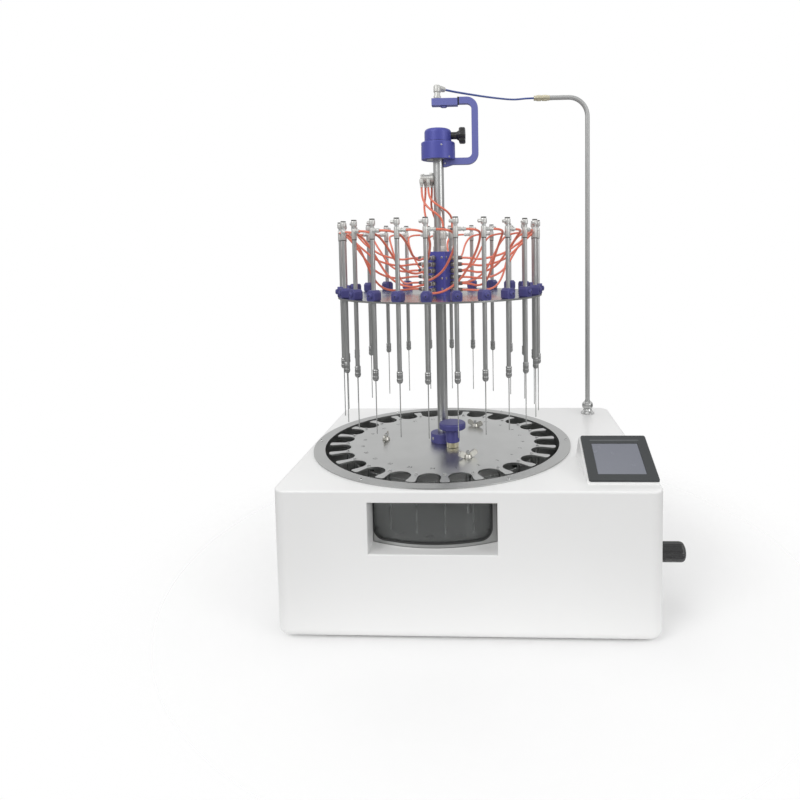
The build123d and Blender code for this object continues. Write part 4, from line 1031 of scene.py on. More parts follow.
class EVAPORATOR_OT_bath(bpy.types.Operator):
    """Fit the tank, its window, the steel ring and what sits under the tank"""

    bl_idname = "evaporator.bath"
    bl_label = "Bath"

    cut_low, cut_high = Vector(mm((-80.0, 118.5))), Vector(mm((77.0, 178.0)))
    cut_corner = 0.015
    glass_inner, glass_outer, overlap = mm((177.0, 180.0, 4.8))
    seal_inner, seal_outer, seal_width, seal_spacing = mm((180.1, 182.6, 2.5, 8.0))
    screw_circle = 0.191
    screw_count = 6
    screw_turn = math.radians(0.8)

    def cut_height(self, x, margin):
        """Lowest and highest point of the cut at x, with a margin round it."""
        corner = self.cut_corner + margin
        inside = min(x - (self.cut_low.x - margin), (self.cut_high.x + margin) - x)
        rise = corner - math.sqrt(max(corner ** 2 - max(corner - inside, 0.0) ** 2, 0.0))
        return self.cut_low.y - margin + rise, self.cut_high.y + margin - rise

    def glass(self):
        """Curved pane that overlaps the cut from inside the tank."""
        columns, rows, overlap = 64, 6, self.overlap
        form = bmesh.new()
        sheets = []
        for radius in (self.glass_inner, self.glass_outer):
            sheet = []
            for column in range(columns + 1):
                t = 0.5 - 0.5 * math.cos(math.pi * column / columns)
                x = self.cut_low.x - overlap + t * (self.cut_high.x - self.cut_low.x + 2 * overlap)
                low, high = self.cut_height(x, overlap)
                y = -math.sqrt(radius ** 2 - x ** 2)
                sheet.append([form.verts.new((x, y, low + (high - low) * row / rows))
                              for row in range(rows + 1)])
            sheets.append(sheet)
        near, far = sheets
        for column in range(columns):
            for row in range(rows):
                for sheet in sheets:
                    form.faces.new((sheet[column][row], sheet[column + 1][row],
                                    sheet[column + 1][row + 1], sheet[column][row + 1]))
            for row in (0, rows):
                form.faces.new((near[column][row], near[column + 1][row], far[column + 1][row],
                                far[column][row]))
        for column in (0, columns):
            for row in range(rows):
                form.faces.new((near[column][row], near[column][row + 1], far[column][row + 1],
                                far[column][row]))
        bmesh.ops.remove_doubles(form, verts=form.verts, dist=1e-6)
        pane = Shape("window_pane")
        pane.take(form, "window_glass", about(0.0))
        pane.fit("base", "window_glass", "bath_window")

    def seal(self):
        """Rubber strip that lines the cut's edge, bent round the tank."""
        inner, outer, width = self.seal_inner, self.seal_outer, self.seal_width
        middle = (self.cut_low + self.cut_high) / 2
        size = self.cut_high - self.cut_low
        outline = rounded_outline(size.x, size.y, self.cut_corner, 8, middle)
        inset = rounded_outline(size.x - 2 * width, size.y - 2 * width, self.cut_corner - width, 8,
                                middle)
        form = bmesh.new()
        loops = []
        for line, radius in ((outline, inner), (outline, outer - 0.0004), (inset, outer),
                             (inset, inner)):
            dense = []
            for start, end in zip(line, line[1:] + line[:1]):
                steps = max(1, int(math.dist(start, end) / self.seal_spacing))
                for step in range(steps):
                    dense.append((start[0] + (end[0] - start[0]) * step / steps,
                                  start[1] + (end[1] - start[1]) * step / steps))
            loops.append([(x, -math.sqrt(radius ** 2 - x ** 2), z) for x, z in dense])
        shortest = min(len(loop) for loop in loops)
        loops = [[form.verts.new(loop[int(index * len(loop) / shortest)])
                  for index in range(shortest)] for loop in loops]
        for low, high in zip(loops, loops[1:] + loops[:1]):
            join_loops(form, low, high)
        strip = Shape("window_gasket")
        strip.take(form, "window_seal", about(0.0))
        strip.fit("base", "window_glass")

    def screws(self):
        """Screws that hold the ring."""
        screws = Shape("ring_fasteners")
        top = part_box("bath_ring")[1].z
        for index in range(self.screw_count):
            angle = self.screw_turn + index * 2 * math.pi / self.screw_count
            socket_screw(screws, about(angle, self.screw_circle, top))
        screws.fit("base", "screw_steel", "ring_screws")

    def execute(self, context):
        coat_nodes("bath_steel", "bath_tank")
        coat_nodes("ring_steel", "bath_ring")
        coat_nodes("heater_mat", "bath_heater")
        coat_nodes("bearing_polymer", "spindle_bearing")
        self.glass()
        self.seal()
        self.screws()
        return {"FINISHED"}


class EVAPORATOR_OT_console(bpy.types.Operator):
    """Fit the touch screen with its display and the board behind it"""

    bl_idname = "evaporator.console"
    bl_label = "Console"

    width, depth, thick, corner = mm((88.5, 88.7, 3.0, 3.0))
    display = mm(((12.4, 11.6), (75.0, 72.2)))
    strip = mm(((11.5, 77.6), (77.5, 78.9)))
    pane_thick, back_margin, back_depth = mm((0.3, 9.0, 7.0))
    tilt = math.radians(21.6)

    def screen_place(self):
        """The bezel's front left corner, x to the right and y up the slope."""
        low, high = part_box("touch_screen")
        back = high.z - self.depth * math.sin(self.tilt)
        front = high.y - self.depth * math.cos(self.tilt)
        return Matrix.Translation((low.x, front, back)) @ Matrix.Rotation(self.tilt, 4, "X")

    def bezel(self, screen, place):
        """The frame round the display, from its outline in to the display's window."""
        (x0, y0), (x1, y1) = self.display
        outline = (self.width, self.depth, (self.width / 2, self.depth / 2))
        window = (x1 - x0, y1 - y0, ((x0 + x1) / 2, (y0 + y1) / 2))
        form = bmesh.new()
        rows = []
        for (wide, long, centre), inset, corner, height in (
                (outline, 0.0, self.corner, -self.thick), (outline, 0.0, self.corner, -0.0007),
                (outline, 0.0005, self.corner - 0.0005, 0.0), (window, 0.0, 0.0008, 0.0),
                (window, 0.0004, 0.0005, -0.0009)):
            line = rounded_outline(wide - 2 * inset, long - 2 * inset, corner, 5, centre)
            rows.append([form.verts.new((x, y, height)) for x, y in line])
        for low, high in zip(rows, rows[1:]):
            join_loops(form, low, high)
        form.faces.new(rows[0])
        form.faces.new(rows[-1])
        screen.take(form, "screen_black", place)

    def pane(self, screen, corners, gap, sunk, finish, place):
        """A thin pane between two corners, less a gap round it, sunk under the bezel's face."""
        (x0, y0), (x1, y1) = corners
        screen.block((x1 - x0 - gap, y1 - y0 - gap, self.pane_thick), finish,
                     place @ Matrix.Translation(((x0 + x1) / 2, (y0 + y1) / 2, -sunk)),
                     edge=0.0001, segments=1)

    def execute(self, context):
        place = self.screen_place()
        screen = Shape("touch_panel")
        self.bezel(screen, place)
        self.pane(screen, self.display, 0.0009, 0.00072, "display_glass", place)
        self.pane(screen, self.strip, 0.0, 0.0001, "strip_grey", place)
        margin, depth = self.back_margin, self.back_depth
        screen.block((self.width - 2 * margin, self.depth - 2 * margin, depth), "screen_black",
                     place @ Matrix.Translation((self.width / 2, self.depth / 2,
                                                 -self.thick - depth / 2)), edge=0.0006)
        screen.fit("base", "screen_black", "touch_screen")
        coat_nodes("board_green", "control_board")
        return {"FINISHED"}


class EVAPORATOR_OT_rear_fittings(bpy.types.Operator):
    """Finish the mains inlet and the rocker switch, and mark the switch"""

    bl_idname = "evaporator.rear_fittings"
    bl_label = "Rear fittings"

    on_mark, off_mark = mm((4.5, -4.5))     # above the rocker's middle

    def execute(self, context):
        coat_nodes("inlet_black", "power_inlet")
        coat_nodes("switch_black", "power_switch")
        low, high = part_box("power_switch")
        middle = (low + high) / 2
        marks = Shape("switch_marks")
        place = Matrix.Translation((middle.x, high.y - 0.0011, middle.z + self.on_mark))
        marks.block((0.0009, 0.0003, 0.0036), "mark_white", place, edge=0.0001, segments=1)
        ring = along((0, 1, 0), (middle.x, high.y - 0.0022, middle.z + self.off_mark))
        marks.turned(mm([(1.3, 0), (1.9, 0), (1.9, 0.3), (1.3, 0.3)]), "mark_white", ring, 28,
                     closed=True)
        marks.fit("power_switch", "switch_black")
        return {"FINISHED"}


class EVAPORATOR_OT_drain(bpy.types.Operator):
    """Finish the drain valve and fit its knob"""

    bl_idname = "evaporator.drain"
    bl_label = "Drain valve"

    def execute(self, context):
        coat_nodes("valve_brass", "drain_valve")
        low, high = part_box("drain_knob")
        middle = (low + high) / 2
        length = high.x - low.x
        radius = (high.z - low.z) / 2
        knob = Shape("drain_grip")
        place = along((1, 0, 0), (low.x, middle.y, middle.z))
        knob.turned(eased([(0.0042, 0), (radius * 0.93, 0), (radius, 0.0012),
                           (radius, length - 0.0055), (radius * 0.90, length - 0.0022),
                           (radius * 0.58, length), (0, length)], 0.0016, 4), "knob_black",
                    place, 96, shape=fluted(24, 0.035))
        knob.fit("drain_knob", "knob_black", "drain_knob")
        return {"FINISHED"}


class EVAPORATOR_OT_supply_pipe(bpy.types.Operator):
    """Fit the bent gas pipe, its gland, its coupling and the gas inlet"""

    bl_idname = "evaporator.supply_pipe"
    bl_label = "Supply pipe"

    from_axis = mm((248.0, 163.6))      # the pipe's upright run, from the rack's axis
    entry_height = 0.120
    low_bend, high_bend = mm((16.0, 33.0))
    barbs, barb_pitch, barb_end = 4, 3.2, 18.0      # a count, then millimetres

    def pipe(self, x, y, height):
        """Pipe from the rear inlet up through the housing and over to the coupling."""
        low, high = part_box("supply_pipe")
        pipe = Shape("gas_pipe")
        route = arc_path(((x, high.y, self.entry_height), (x, y, self.entry_height),
                          (x, y, height), (low.x, y, height)),
                         (self.low_bend, self.high_bend), 12)
        pipe.swept(route, ring_section(sizes().pipe_diameter / 2, 24), "pipe_steel")
        foot = Matrix.Translation((x, y, housing_top))
        pipe.turned(eased(mm([(4, 0), (12.0, 0), (12.0, 1.2), (10.6, 2.6), (7.6, 5.4), (6.8, 9.0),
                              (4, 9.0)]), 0.0009), "gland_steel", foot, 40)
        pipe.turned(eased(mm([(4, 8.8), (7.4, 8.8), (9.4, 11.0), (9.6, 14.4), (9.0, 18.6),
                              (6.4, 21.6), (4, 22.2)]), 0.0012), "gland_steel", foot, 48,
                    shape=lambda angle: 0.62 + 0.38 * hexed(angle))
        pipe.turned(mm([(4, 21.8), (5.0, 21.8), (4.7, 23.8), (4, 24.0)]), "gland_steel", foot, 32)
        pipe.fit("base", "pipe_steel", "supply_pipe", smooth=40)

    def coupling(self, fittings, place):
        """Hose coupling on the pipe's end."""
        fittings.turned(eased(mm([(0, 0), (3.9, 0), (4.4, 0.8), (4.4, 5.0), (5.2, 5.4), (5.2, 12.4),
                                  (4.3, 12.9), (4.3, 14.3), (5.2, 14.8), (5.2, 22.6), (4.6, 23.2),
                                  (4.6, 27.0), (4.1, 27.8), (0, 27.8)]), 0.0003), "coupling_brass",
                        place, 36)

    def inlet(self, fittings, place):
        """Barbed gas inlet through the rear wall, with its hexagon outside."""
        fittings.turned(mm([(0, -17), (8, -17), (8, -3), (6, -3), (6, 0.2), (0, 0.2)]),
                        "coupling_brass", place, 36)
        fittings.turned(eased(mm([(0, 0), (9, 0), (9, 5), (0, 5)]), 0.0007), "coupling_brass",
                        place, 36, shape=hexed)
        barb = [(0, 5), (4.0, 5)]
        for step in range(self.barbs):
            rise = self.barb_pitch * step
            barb += [(3.2, 6.0 + rise), (4.0, 8.6 + rise)]
        barb = [corner for corner in barb if corner[1] < self.barb_end]
        barb += [(3.1, self.barb_end + 1.0), (0, self.barb_end + 1.0)]
        fittings.turned(mm(barb), "coupling_brass", place, 32)

    def execute(self, context):
        x, y = rack_axis.x + self.from_axis[0], rack_axis.y + self.from_axis[1]
        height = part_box("supply_pipe")[1].z - sizes().pipe_diameter / 2
        self.pipe(x, y, height)
        fittings = Shape("brass_gas_fittings")
        coupling_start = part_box("brass_fittings")[0].x
        self.coupling(fittings, along((1, 0, 0), (coupling_start, y, height)))
        self.inlet(fittings, along((0, 1, 0), (x, housing_high.y, self.entry_height)))
        fittings.fit("base", "coupling_brass", "brass_fittings")
        return {"FINISHED"}


class EVAPORATOR_OT_swivel_elbow(bpy.types.Operator):
    """Fit the push-in elbow that turns on the arm"""

    bl_idname = "evaporator.swivel_elbow"
    bl_label = "Swivel elbow"

    turn = math.radians(46.6)       # direction of its barrel
    barrel_height = 0.7354
    step = 0.0018                   # from the arm's block up to the top of its bar
    stub, hexagon, neck = mm((4.9, 5.5, 4.4))

    def execute(self, context):
        low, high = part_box("swivel_elbow")
        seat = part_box("gas_arm")[1].z - self.step
        middle = self.barrel_height
        elbow = Shape("push_in_elbow")
        up = about(0.0)
        elbow.turned(eased([(0, low.z), (self.stub, low.z), (self.stub, seat + 0.0004),
                            (self.hexagon, seat + 0.0006), (self.hexagon, seat + 0.0046),
                            (self.neck, seat + 0.0052), (self.neck, middle - 0.0066),
                            (0, middle - 0.0066)], 0.0003), "elbow_nickel", up, 36)
        flat = self.hexagon + 0.0001
        elbow.turned([(self.hexagon, seat + 0.0008), (flat, seat + 0.0010),
                      (flat, seat + 0.0042), (self.hexagon, seat + 0.0044)], "elbow_nickel", up,
                     36, shape=hexed)
        elbow.turned(eased([(0, middle - 0.0070), (0.0050, middle - 0.0070),
                            (0.0055, middle - 0.0058), (0.0055, middle + 0.0024),
                            (0.0038, high.z - 0.0002), (0, high.z)], 0.0012), "elbow_nickel", up,
                     36)
        barrel = about(self.turn, 0.0, middle) @ outwards
        elbow.turned(eased(mm([(0, 0), (4.3, 0), (4.3, 9.4), (3.9, 9.8), (3.9, 10.4), (4.3, 10.8),
                               (4.3, 12.0), (0, 12.0)]), 0.0003), "elbow_nickel", barrel, 32)
        elbow.turned(eased(mm([(0, 11.8), (3.3, 11.8), (3.3, 12.8), (3.9, 13.0), (3.9, 14.0),
                               (0, 14.0)]), 0.0002), "collar_white", barrel, 32)
        elbow.fit("base", "elbow_nickel", "swivel_elbow")
        return {"FINISHED"}


class EVAPORATOR_OT_rack(bpy.types.Operator):
    """Fit the rack plates, posts, retaining spring, wing nuts and place numbers"""

    bl_idname = "evaporator.rack"
    bl_label = "Rack"

    pillar_places = (1, 9, 17)
    pillar_circle = 0.090
    spring_wire = 0.00035
    nut_wing = mm((12.5, 9.2, 4.0))     # long, high, corner
    wing_reach, wing_rise, wing_half = mm((8.8, 5.9, 1.0))
    wing_lean = math.radians(-28)

    def spring(self):
        """Closed coil spring that presses on the tubes."""
        low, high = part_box("retaining_spring")
        circle = (high.x - low.x) / 2 - sizes().spring_radius
        height = (low.z + high.z) / 2
        coil = sizes().spring_radius - self.spring_wire
        turns, steps = sizes().spring_turns, 7
        count = turns * steps
        points = []
        for step in range(count + 1):
            around = 2 * math.pi * step / count
            twist = 2 * math.pi * turns * step / count
            reach = circle + coil * math.cos(twist)
            points.append((reach * math.cos(around), reach * math.sin(around),
                           height + coil * math.sin(twist)))
        spring = Shape("tube_spring")
        spring.swept(points, ring_section(self.spring_wire, 4), "spring_steel", about(0.0))
        spring.fit("rotor", "spring_steel", "retaining_spring", smooth=70)

    def nuts(self):
        """Wing nuts on the studs of the rack's pillars."""
        nuts = Shape("plate_wing_nuts")
        wing = rounded_outline(*self.nut_wing)
        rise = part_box("wing_nuts")[0].z
        for place in self.pillar_places:
            seat = about(place_angle(place), self.pillar_circle, rise)
            seat = seat @ crosswise
            nuts.turned(eased(mm([(2.5, 0), (6.0, 0), (6.0, 1.0), (4.6, 5.6), (2.5, 5.6)]), 0.0006),
                        "nut_steel", seat, 36, closed=True)
            for side in (-1, 1):
                lean = (seat @ Matrix.Translation((side * self.wing_reach, 0, self.wing_rise))
                        @ Matrix.Rotation(side * self.wing_lean, 4, "Y") @ stood_up)
                nuts.prism(wing, -self.wing_half, self.wing_half, "nut_steel", lean, edge=0.0006,
                           segments=3)
            thread = [(2.2, 5.4)]
            for turn in range(5):
                thread += [(2.6, 5.8 + 0.8 * turn), (2.2, 6.2 + 0.8 * turn)]
            nuts.turned(mm(thread + [(1.7, 10.0), (0, 10.0)]), "screw_steel", seat, 24)
        nuts.fit("rotor", "nut_steel", "wing_nuts")

    def numbers(self):
        """Place numbers 1 to 24, etched beside the notches."""
        data = bpy.data.curves.new("numbers", "FONT")
        whole = Shape("place_numbers")
        for index in range(place_count):
            data.body = str(index + 1)
            data.size = sizes().number_height
            data.align_x = "CENTER"
            data.align_y = "CENTER"
            data.extrude = 0.00003
            writer = bpy.data.objects.new("writer", data)
            letters = bpy.data.meshes.new_from_object(writer)
            form = bmesh.new()
            form.from_mesh(letters)
            bpy.data.meshes.remove(letters)
            bpy.data.objects.remove(writer)
            seat = about(place_angle(index), sizes().number_circle, plate_top + 0.00002)
            whole.take(form, "number_ink", seat @ crosswise)
        bpy.data.curves.remove(data)
        whole.fit("rotor", "rack_steel")

    def execute(self, context):
        coat_nodes("rack_steel", "rack_plate", "rack_base_plate")
        coat_nodes("post_steel", "rack_posts")
        self.spring()
        self.nuts()
        self.numbers()
        return {"FINISHED"}


class EVAPORATOR_OT_hub(bpy.types.Operator):
    """Fit the hub block and the lock knob beside the column"""

    bl_idname = "evaporator.hub"
    bl_label = "Hub and lock knob"

    bore = 0.00805
    slit_turn, screw_turn = math.radians(108), math.radians(-140)

    def hub(self):
        """Split clamp round the column, with its screw; its slit is a thin black block of painted
        shade.
        """
        low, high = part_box("hub_block")
        radius = (high.x - low.x) / 2
        height = high.z - low.z
        hub = Shape("hub_clamp")
        hub.turned(eased([(self.bore, 0), (radius, 0), (radius, height), (self.bore, height)],
                         0.0009, closed=True), "clamp_blue", about(0.0, 0.0, low.z), 64,
                   closed=True)
        # thin black block: painted shade of the clamp's slit
        hub.block((0.0112, 0.0012, height * 0.98), "shade_and_joint_black",
                  about(self.slit_turn, 0.0137, low.z + height * 0.505), edge=0.0001, segments=1)
        slotted_screw(hub, about(self.screw_turn, radius - 0.0003, low.z + height / 2) @ outwards,
                      0.0022, 0.0007)
        hub.fit("rotor", "anodised_blue", "hub_block")

    def lock_knob(self):
        """Mushroom knob on its stud and knurled collar."""
        low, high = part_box("lock_knob")
        middle = (low + high) / 2
        place = Matrix.Translation((middle.x, middle.y, 0))
        top = high.z
        cap = (high.x - low.x) / 2
        knob = Shape("lock_mushroom")
        knob.turned(eased([(0, low.z), (0.0049, low.z), (0.0049, plate_top + 0.0006),
                           (0, plate_top + 0.0006)], 0.0003), "screw_steel", place, 32)
        collar = [(0, plate_top + 0.0004), (0.0090, plate_top + 0.0004),
                  (0.0090, plate_top + 0.0074), (0.0086, plate_top + 0.0080),
                  (0, plate_top + 0.0080)]
        knob.turned(eased(collar, 0.0003), "coupling_brass", place, 144, shape=fluted(24, 0.10))
        stem = [(0, plate_top + 0.0082), (0.0101, plate_top + 0.0082),
                (0.0105, plate_top + 0.0090), (0.0105, top - 0.0108), (0.0118, top - 0.0098),
                (cap - 0.0012, top - 0.0097), (cap, top - 0.0085), (cap, top - 0.0016),
                (cap - 0.0016, top), (0, top)]
        knob.turned(eased(stem, 0.0010, 4), "clamp_blue", place, 72)
        knob.fit("lock_knob", "anodised_blue", "lock_knob")

    def execute(self, context):
        self.hub()
        self.lock_knob()
        return {"FINISHED"}


class EVAPORATOR_OT_column(bpy.types.Operator):
    """Finish the column"""

    bl_idname = "evaporator.column"
    bl_label = "Column"

    def execute(self, context):
        coat_nodes("column_steel", "column")
        return {"FINISHED"}


class EVAPORATOR_OT_head(bpy.types.Operator):
    """Finish the head, fit its screws, its underside ring and its knob"""

    bl_idname = "evaporator.head"
    bl_label = "Head"

    cap_radius, cap_seat, groove = mm((20.3, 654.8, 1.1))
    screws = ((-74, 0.6478), (-45, 0.6312), (-160, 0.6475))     # direction in degrees, height

    def trim(self):
        """Ring under the head, a black ring of painted shade for the groove under its cap, and its
        screws.
        """
        low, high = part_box("head")
        trim = Shape("head_trim")
        trim.turned(mm([(8.1, -0.25), (17.5, -0.25), (17.5, 0.1), (8.1, 0.1)]), "gland_steel",
                    about(0.0, 0.0, low.z), 56, closed=True)
        # black ring: painted shade of the groove under the cap
        inner, outer = self.cap_radius - 0.0010, self.cap_radius + 0.00015
        trim.turned([(inner, 0.0), (outer, 0.0), (outer, self.groove), (inner, self.groove)],
                    "shade_and_joint_black", about(0.0, 0.0, self.cap_seat), 72, closed=True)
        radius = (high.x - low.x) / 2
        for angle, height in self.screws:
            seat = about(math.radians(angle), radius - 0.0004, height)
            slotted_screw(trim, seat @ outwards, 0.0014, 0.0006)
        trim.fit("rotor", "anodised_blue")

    def knob(self):
        """Six-lobed knob on its stud, at the head's side."""
        low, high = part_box("head_knob")
        middle = (low + high) / 2
        reach = (high.z - low.z) / 2
        grip = high.x - 0.0094
        place = along((1, 0, 0), (0, middle.y, middle.z))
        knob = Shape("head_star_knob")
        knob.turned(eased([(0, low.x), (0.0055, low.x), (0.0055, grip - 0.0040),
                           (0.0075, grip - 0.0012), (0.0075, grip), (0, grip)], 0.0008),
                    "knob_black", place, 36)
        knob.turned(eased([(0, grip - 0.0004), (reach * 0.90, grip - 0.0002),
                           (reach, grip + 0.0014), (reach, high.x - 0.0016),
                           (reach * 0.90, high.x), (reach * 0.45, high.x - 0.0002),
                           (reach * 0.40, high.x - 0.0010), (0, high.x - 0.0010)], 0.0012),
                    "knob_black", place, 120, shape=fluted(6, 0.20))
        knob.fit("head_knob", "knob_black", "head_knob")

    def execute(self, context):
        coat_nodes("anodised_blue", "head")
        self.trim()
        self.knob()
        return {"FINISHED"}


class EVAPORATOR_OT_gas_arm(bpy.types.Operator):
    """Finish the hollow gas arm and fit its joint gasket and its screw"""

    bl_idname = "evaporator.gas_arm"
    bl_label = "Gas arm"

    bar = 0.0098
    joint = mm((30.2, 32.8))        # where the gasket starts and ends, from the axis
    proud = 0.0003                  # gasket wider than the bar
    lug = mm((10.4, 623.0))         # the lug's screw, from the axis and above the bench

    def execute(self, context):
        coat_nodes("arm_blue", "gas_arm")
        trim = Shape("arm_trim")
        start, end = self.joint
        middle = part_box("gas_arm")[1].z - self.bar / 2
        side = self.bar + self.proud
        trim.block((end - start, side, side), "shade_and_joint_black",
                   about(0.0, (start + end) / 2, middle), edge=0.0002)
        x, height = self.lug
        lug = about(0.0) @ Matrix.Translation((x, 0.0007 - self.bar / 2, height))
        slotted_screw(trim, lug @ stood_up, 0.0015, 0.0008)
        trim.fit("rotor", "arm_blue")
        return {"FINISHED"}


class EVAPORATOR_OT_distributor(bpy.types.Operator):
    """Fit the cluster of gas fittings on the column that feeds the manifold"""

    bl_idname = "evaporator.distributor"
    bl_label = "Feed distributor"

    outlets = mm(((-25.8, -3.2), (-20.6, 3.2), (-15.6, -3.2), (-11.0, 3.6)))
    outlet_drop = 0.0057

    def execute(self, context):
        low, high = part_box("feed_distributor")
        body = low.z + self.outlet_drop
        cluster = Shape("gas_tees")
        middle = (body + high.z) / 2
        cluster.turned(eased(mm([(0, 7.2), (6.6, 7.2), (6.6, 11.0), (5.6, 11.6), (5.6, 24.0),
                                 (6.2, 24.6), (6.2, 27.2), (0, 28.0)]), 0.0006), "elbow_nickel",
                       about(math.pi, 0.0, middle) @ outwards, 32)
        cluster.turned(eased(mm([(0, 0), (4.4, 0), (4.4, 4.6), (3.2, 5.4), (3.2, 8.0), (0, 8.0)]),
                             0.0004), "elbow_nickel",
                       about(math.pi, 0.0112, middle)
                       @ Matrix.Rotation(math.radians(-6), 4, "Y"), 32, shape=hexed)
        cluster.turned(eased(mm([(0, 0), (3.4, 0), (3.4, 4.2), (2.4, 5.0), (2.4, 6.6), (0, 6.6)]),
                             0.0004), "elbow_nickel",
                       about(math.pi, 0.0232, middle)
                       @ Matrix.Rotation(math.radians(8), 4, "Y"), 32)
        for x, y in self.outlets:
            place = about(0.0) @ Matrix.Translation((x, y, low.z))
            cluster.turned(eased(mm([(0, 0), (2.3, 0), (2.3, 1.2), (1.9, 1.4), (1.9, 2.6),
                                     (2.6, 3.0), (2.6, 5.4), (3.1, 5.8), (3.1, 12.0), (0, 12.0)]),
                                 0.0003), "elbow_nickel", place, 28)
        cluster.fit("rotor", "elbow_nickel", "feed_distributor")
        return {"FINISHED"}


class EVAPORATOR_OT_disc(bpy.types.Operator):
    """Polish the disc that carries the needles"""

    bl_idname = "evaporator.disc"
    bl_label = "Nozzle disc"

    def execute(self, context):
        coat_nodes("disc_steel", "nozzle_disc")
        return {"FINISHED"}


class EVAPORATOR_OT_manifold(bpy.types.Operator):
    """Fit the gas manifold with its outlets and inlets"""

    bl_idname = "evaporator.manifold"
    bl_label = "Manifold"

    rows = 6
    row_pitch = 0.0096
    first_row = 0.007
    half = 0.0183
    inlet_circle = 0.020
    screw_side = 0.0132
    screw_rows = mm((9.0, 24.5, 56.0))

    def outlet(self, shape, place):
        """Push-in outlet: hexagon, barrel, pale ring and dark release collar."""
        shape.turned(eased(mm([(0, 0), (4.0, 0), (4.0, 3.6), (0, 3.6)]), 0.0004), "fitting_nickel",
                     place, 24, shape=hexed)
        shape.turned(eased(mm([(0, 3.4), (3.4, 3.4), (3.4, 6.2), (2.7, 6.8), (2.7, 11.6),
                               (0, 11.6)]), 0.0003), "fitting_nickel", place, 24)
        shape.turned(eased(mm([(0, 11.5), (3.2, 11.5), (3.2, 13.6), (0, 13.6)]), 0.0003),
                     "collar_white", place, 24)
        shape.turned(eased(mm([(0, 13.5), (3.0, 13.5), (3.0, 17.2), (2.4, 19.7), (0, 19.7)]),
                           0.0004), "collar_black", place, 24)

    def inlet(self, shape, place):
        """Upright push-in inlet on the manifold's top."""
        shape.turned(eased(mm([(0, 0), (5.2, 0), (5.2, 8.0), (0, 8.0)]), 0.0005), "elbow_nickel",
                     place, 24, shape=hexed)
        shape.turned(eased(mm([(0, 7.8), (4.0, 7.8), (4.0, 18.4), (5.2, 19.2), (5.2, 28.6),
                               (4.0, 30.6), (0, 30.8)]), 0.0009, 4), "elbow_nickel", place, 36)
        shape.turned(eased(mm([(0, 30.4), (3.6, 30.4), (3.6, 32.4), (0, 32.4)]), 0.0003),
                     "collar_white", place, 24)
        shape.turned(eased(mm([(0, 32.2), (3.8, 32.2), (3.8, 35.0), (2.6, 36.0), (0, 36.0)]),
                           0.0004), "collar_black", place, 24)

    def execute(self, context):
        coat_nodes("anodised_blue", "manifold_block")
        fittings = Shape("manifold_push_fittings")
        screws = Shape("manifold_screws")
        for face in range(face_count):
            turn = face_angle(face)
            for row in range(self.rows):
                height = disc_top + self.first_row + row * self.row_pitch
                self.outlet(fittings, about(turn, self.half, height) @ outwards)
            self.inlet(fittings, about(turn + quarter / 2, self.inlet_circle, manifold_top))
            for side in (-self.screw_side, self.screw_side):
                for height in self.screw_rows:
                    seat = about(turn, self.half - 0.0002, disc_top + height)
                    seat = seat @ Matrix.Translation((0, side, 0))
                    slotted_screw(screws, seat @ outwards, 0.0017, 0.0006)
        fittings.fit("carriage", "fitting_brass", "manifold_fittings")
        screws.fit("carriage", "anodised_blue")
        return {"FINISHED"}


class EVAPORATOR_OT_clamps(bpy.types.Operator):
    """Fit the needle clamps with their screws round the disc"""

    bl_idname = "evaporator.clamps"
    bl_label = "Needle clamps"

    inner, outer, width, height = mm((141.0, 154.6, 14.0, 14.5))
    corner, screw_reach, screw_radius = mm((3.4, 3.2, 3.9))

    def execute(self, context):
        half = self.width / 2
        low_corner = self.corner * 0.45
        outline = [(half, low_corner), (half, self.height - self.corner),
                   (half - self.corner, self.height), (self.corner - half, self.height),
                   (-half, self.height - self.corner), (-half, low_corner),
                   (low_corner - half, 0), (half - low_corner, 0)]
        # the outline's x runs across the clamp, its y upwards and its z outwards
        upright = Matrix(((0, 0, 1, 0), (1, 0, 0, 0), (0, 1, 0, 0), (0, 0, 0, 1)))
        clamps = Shape("clamp_blocks")
        for index in range(place_count):
            stand = about(place_angle(index), 0.0, disc_top)
            clamps.prism(outline, self.inner, self.outer, "clamp_blue", stand @ upright,
                         edge=0.0006)
            # thin black strip: painted shade of the clamp's slit
            clamps.block(mm((0.3, 0.9, 13.0)), "shade_and_joint_black",
                         stand @ Matrix.Translation((self.inner - 0.0001, 0, 0.0072)), edge=0.0001,
                         segments=1)
            screw = stand @ Matrix.Translation((self.outer, 0, self.height / 2)) @ outwards
            clamps.turned(eased([(0, -0.0004), (self.screw_radius, -0.0004),
                                 (self.screw_radius, 0.0016), (self.screw_radius * 0.76, 0.0028),
                                 (self.screw_radius * 0.45, self.screw_reach),
                                 (0, self.screw_reach)], 0.0008), "clamp_blue", screw, 36)
            # black hexagon: painted shade of the screw head's recess
            clamps.turned(mm([(0, 3.22), (1.1, 3.22), (1.1, 3.0), (0, 3.0)]), "shade_and_joint_black", screw,
                          18, shape=hexed)
        clamps.fit("carriage", "anodised_blue", "needle_clamps")
        return {"FINISHED"}


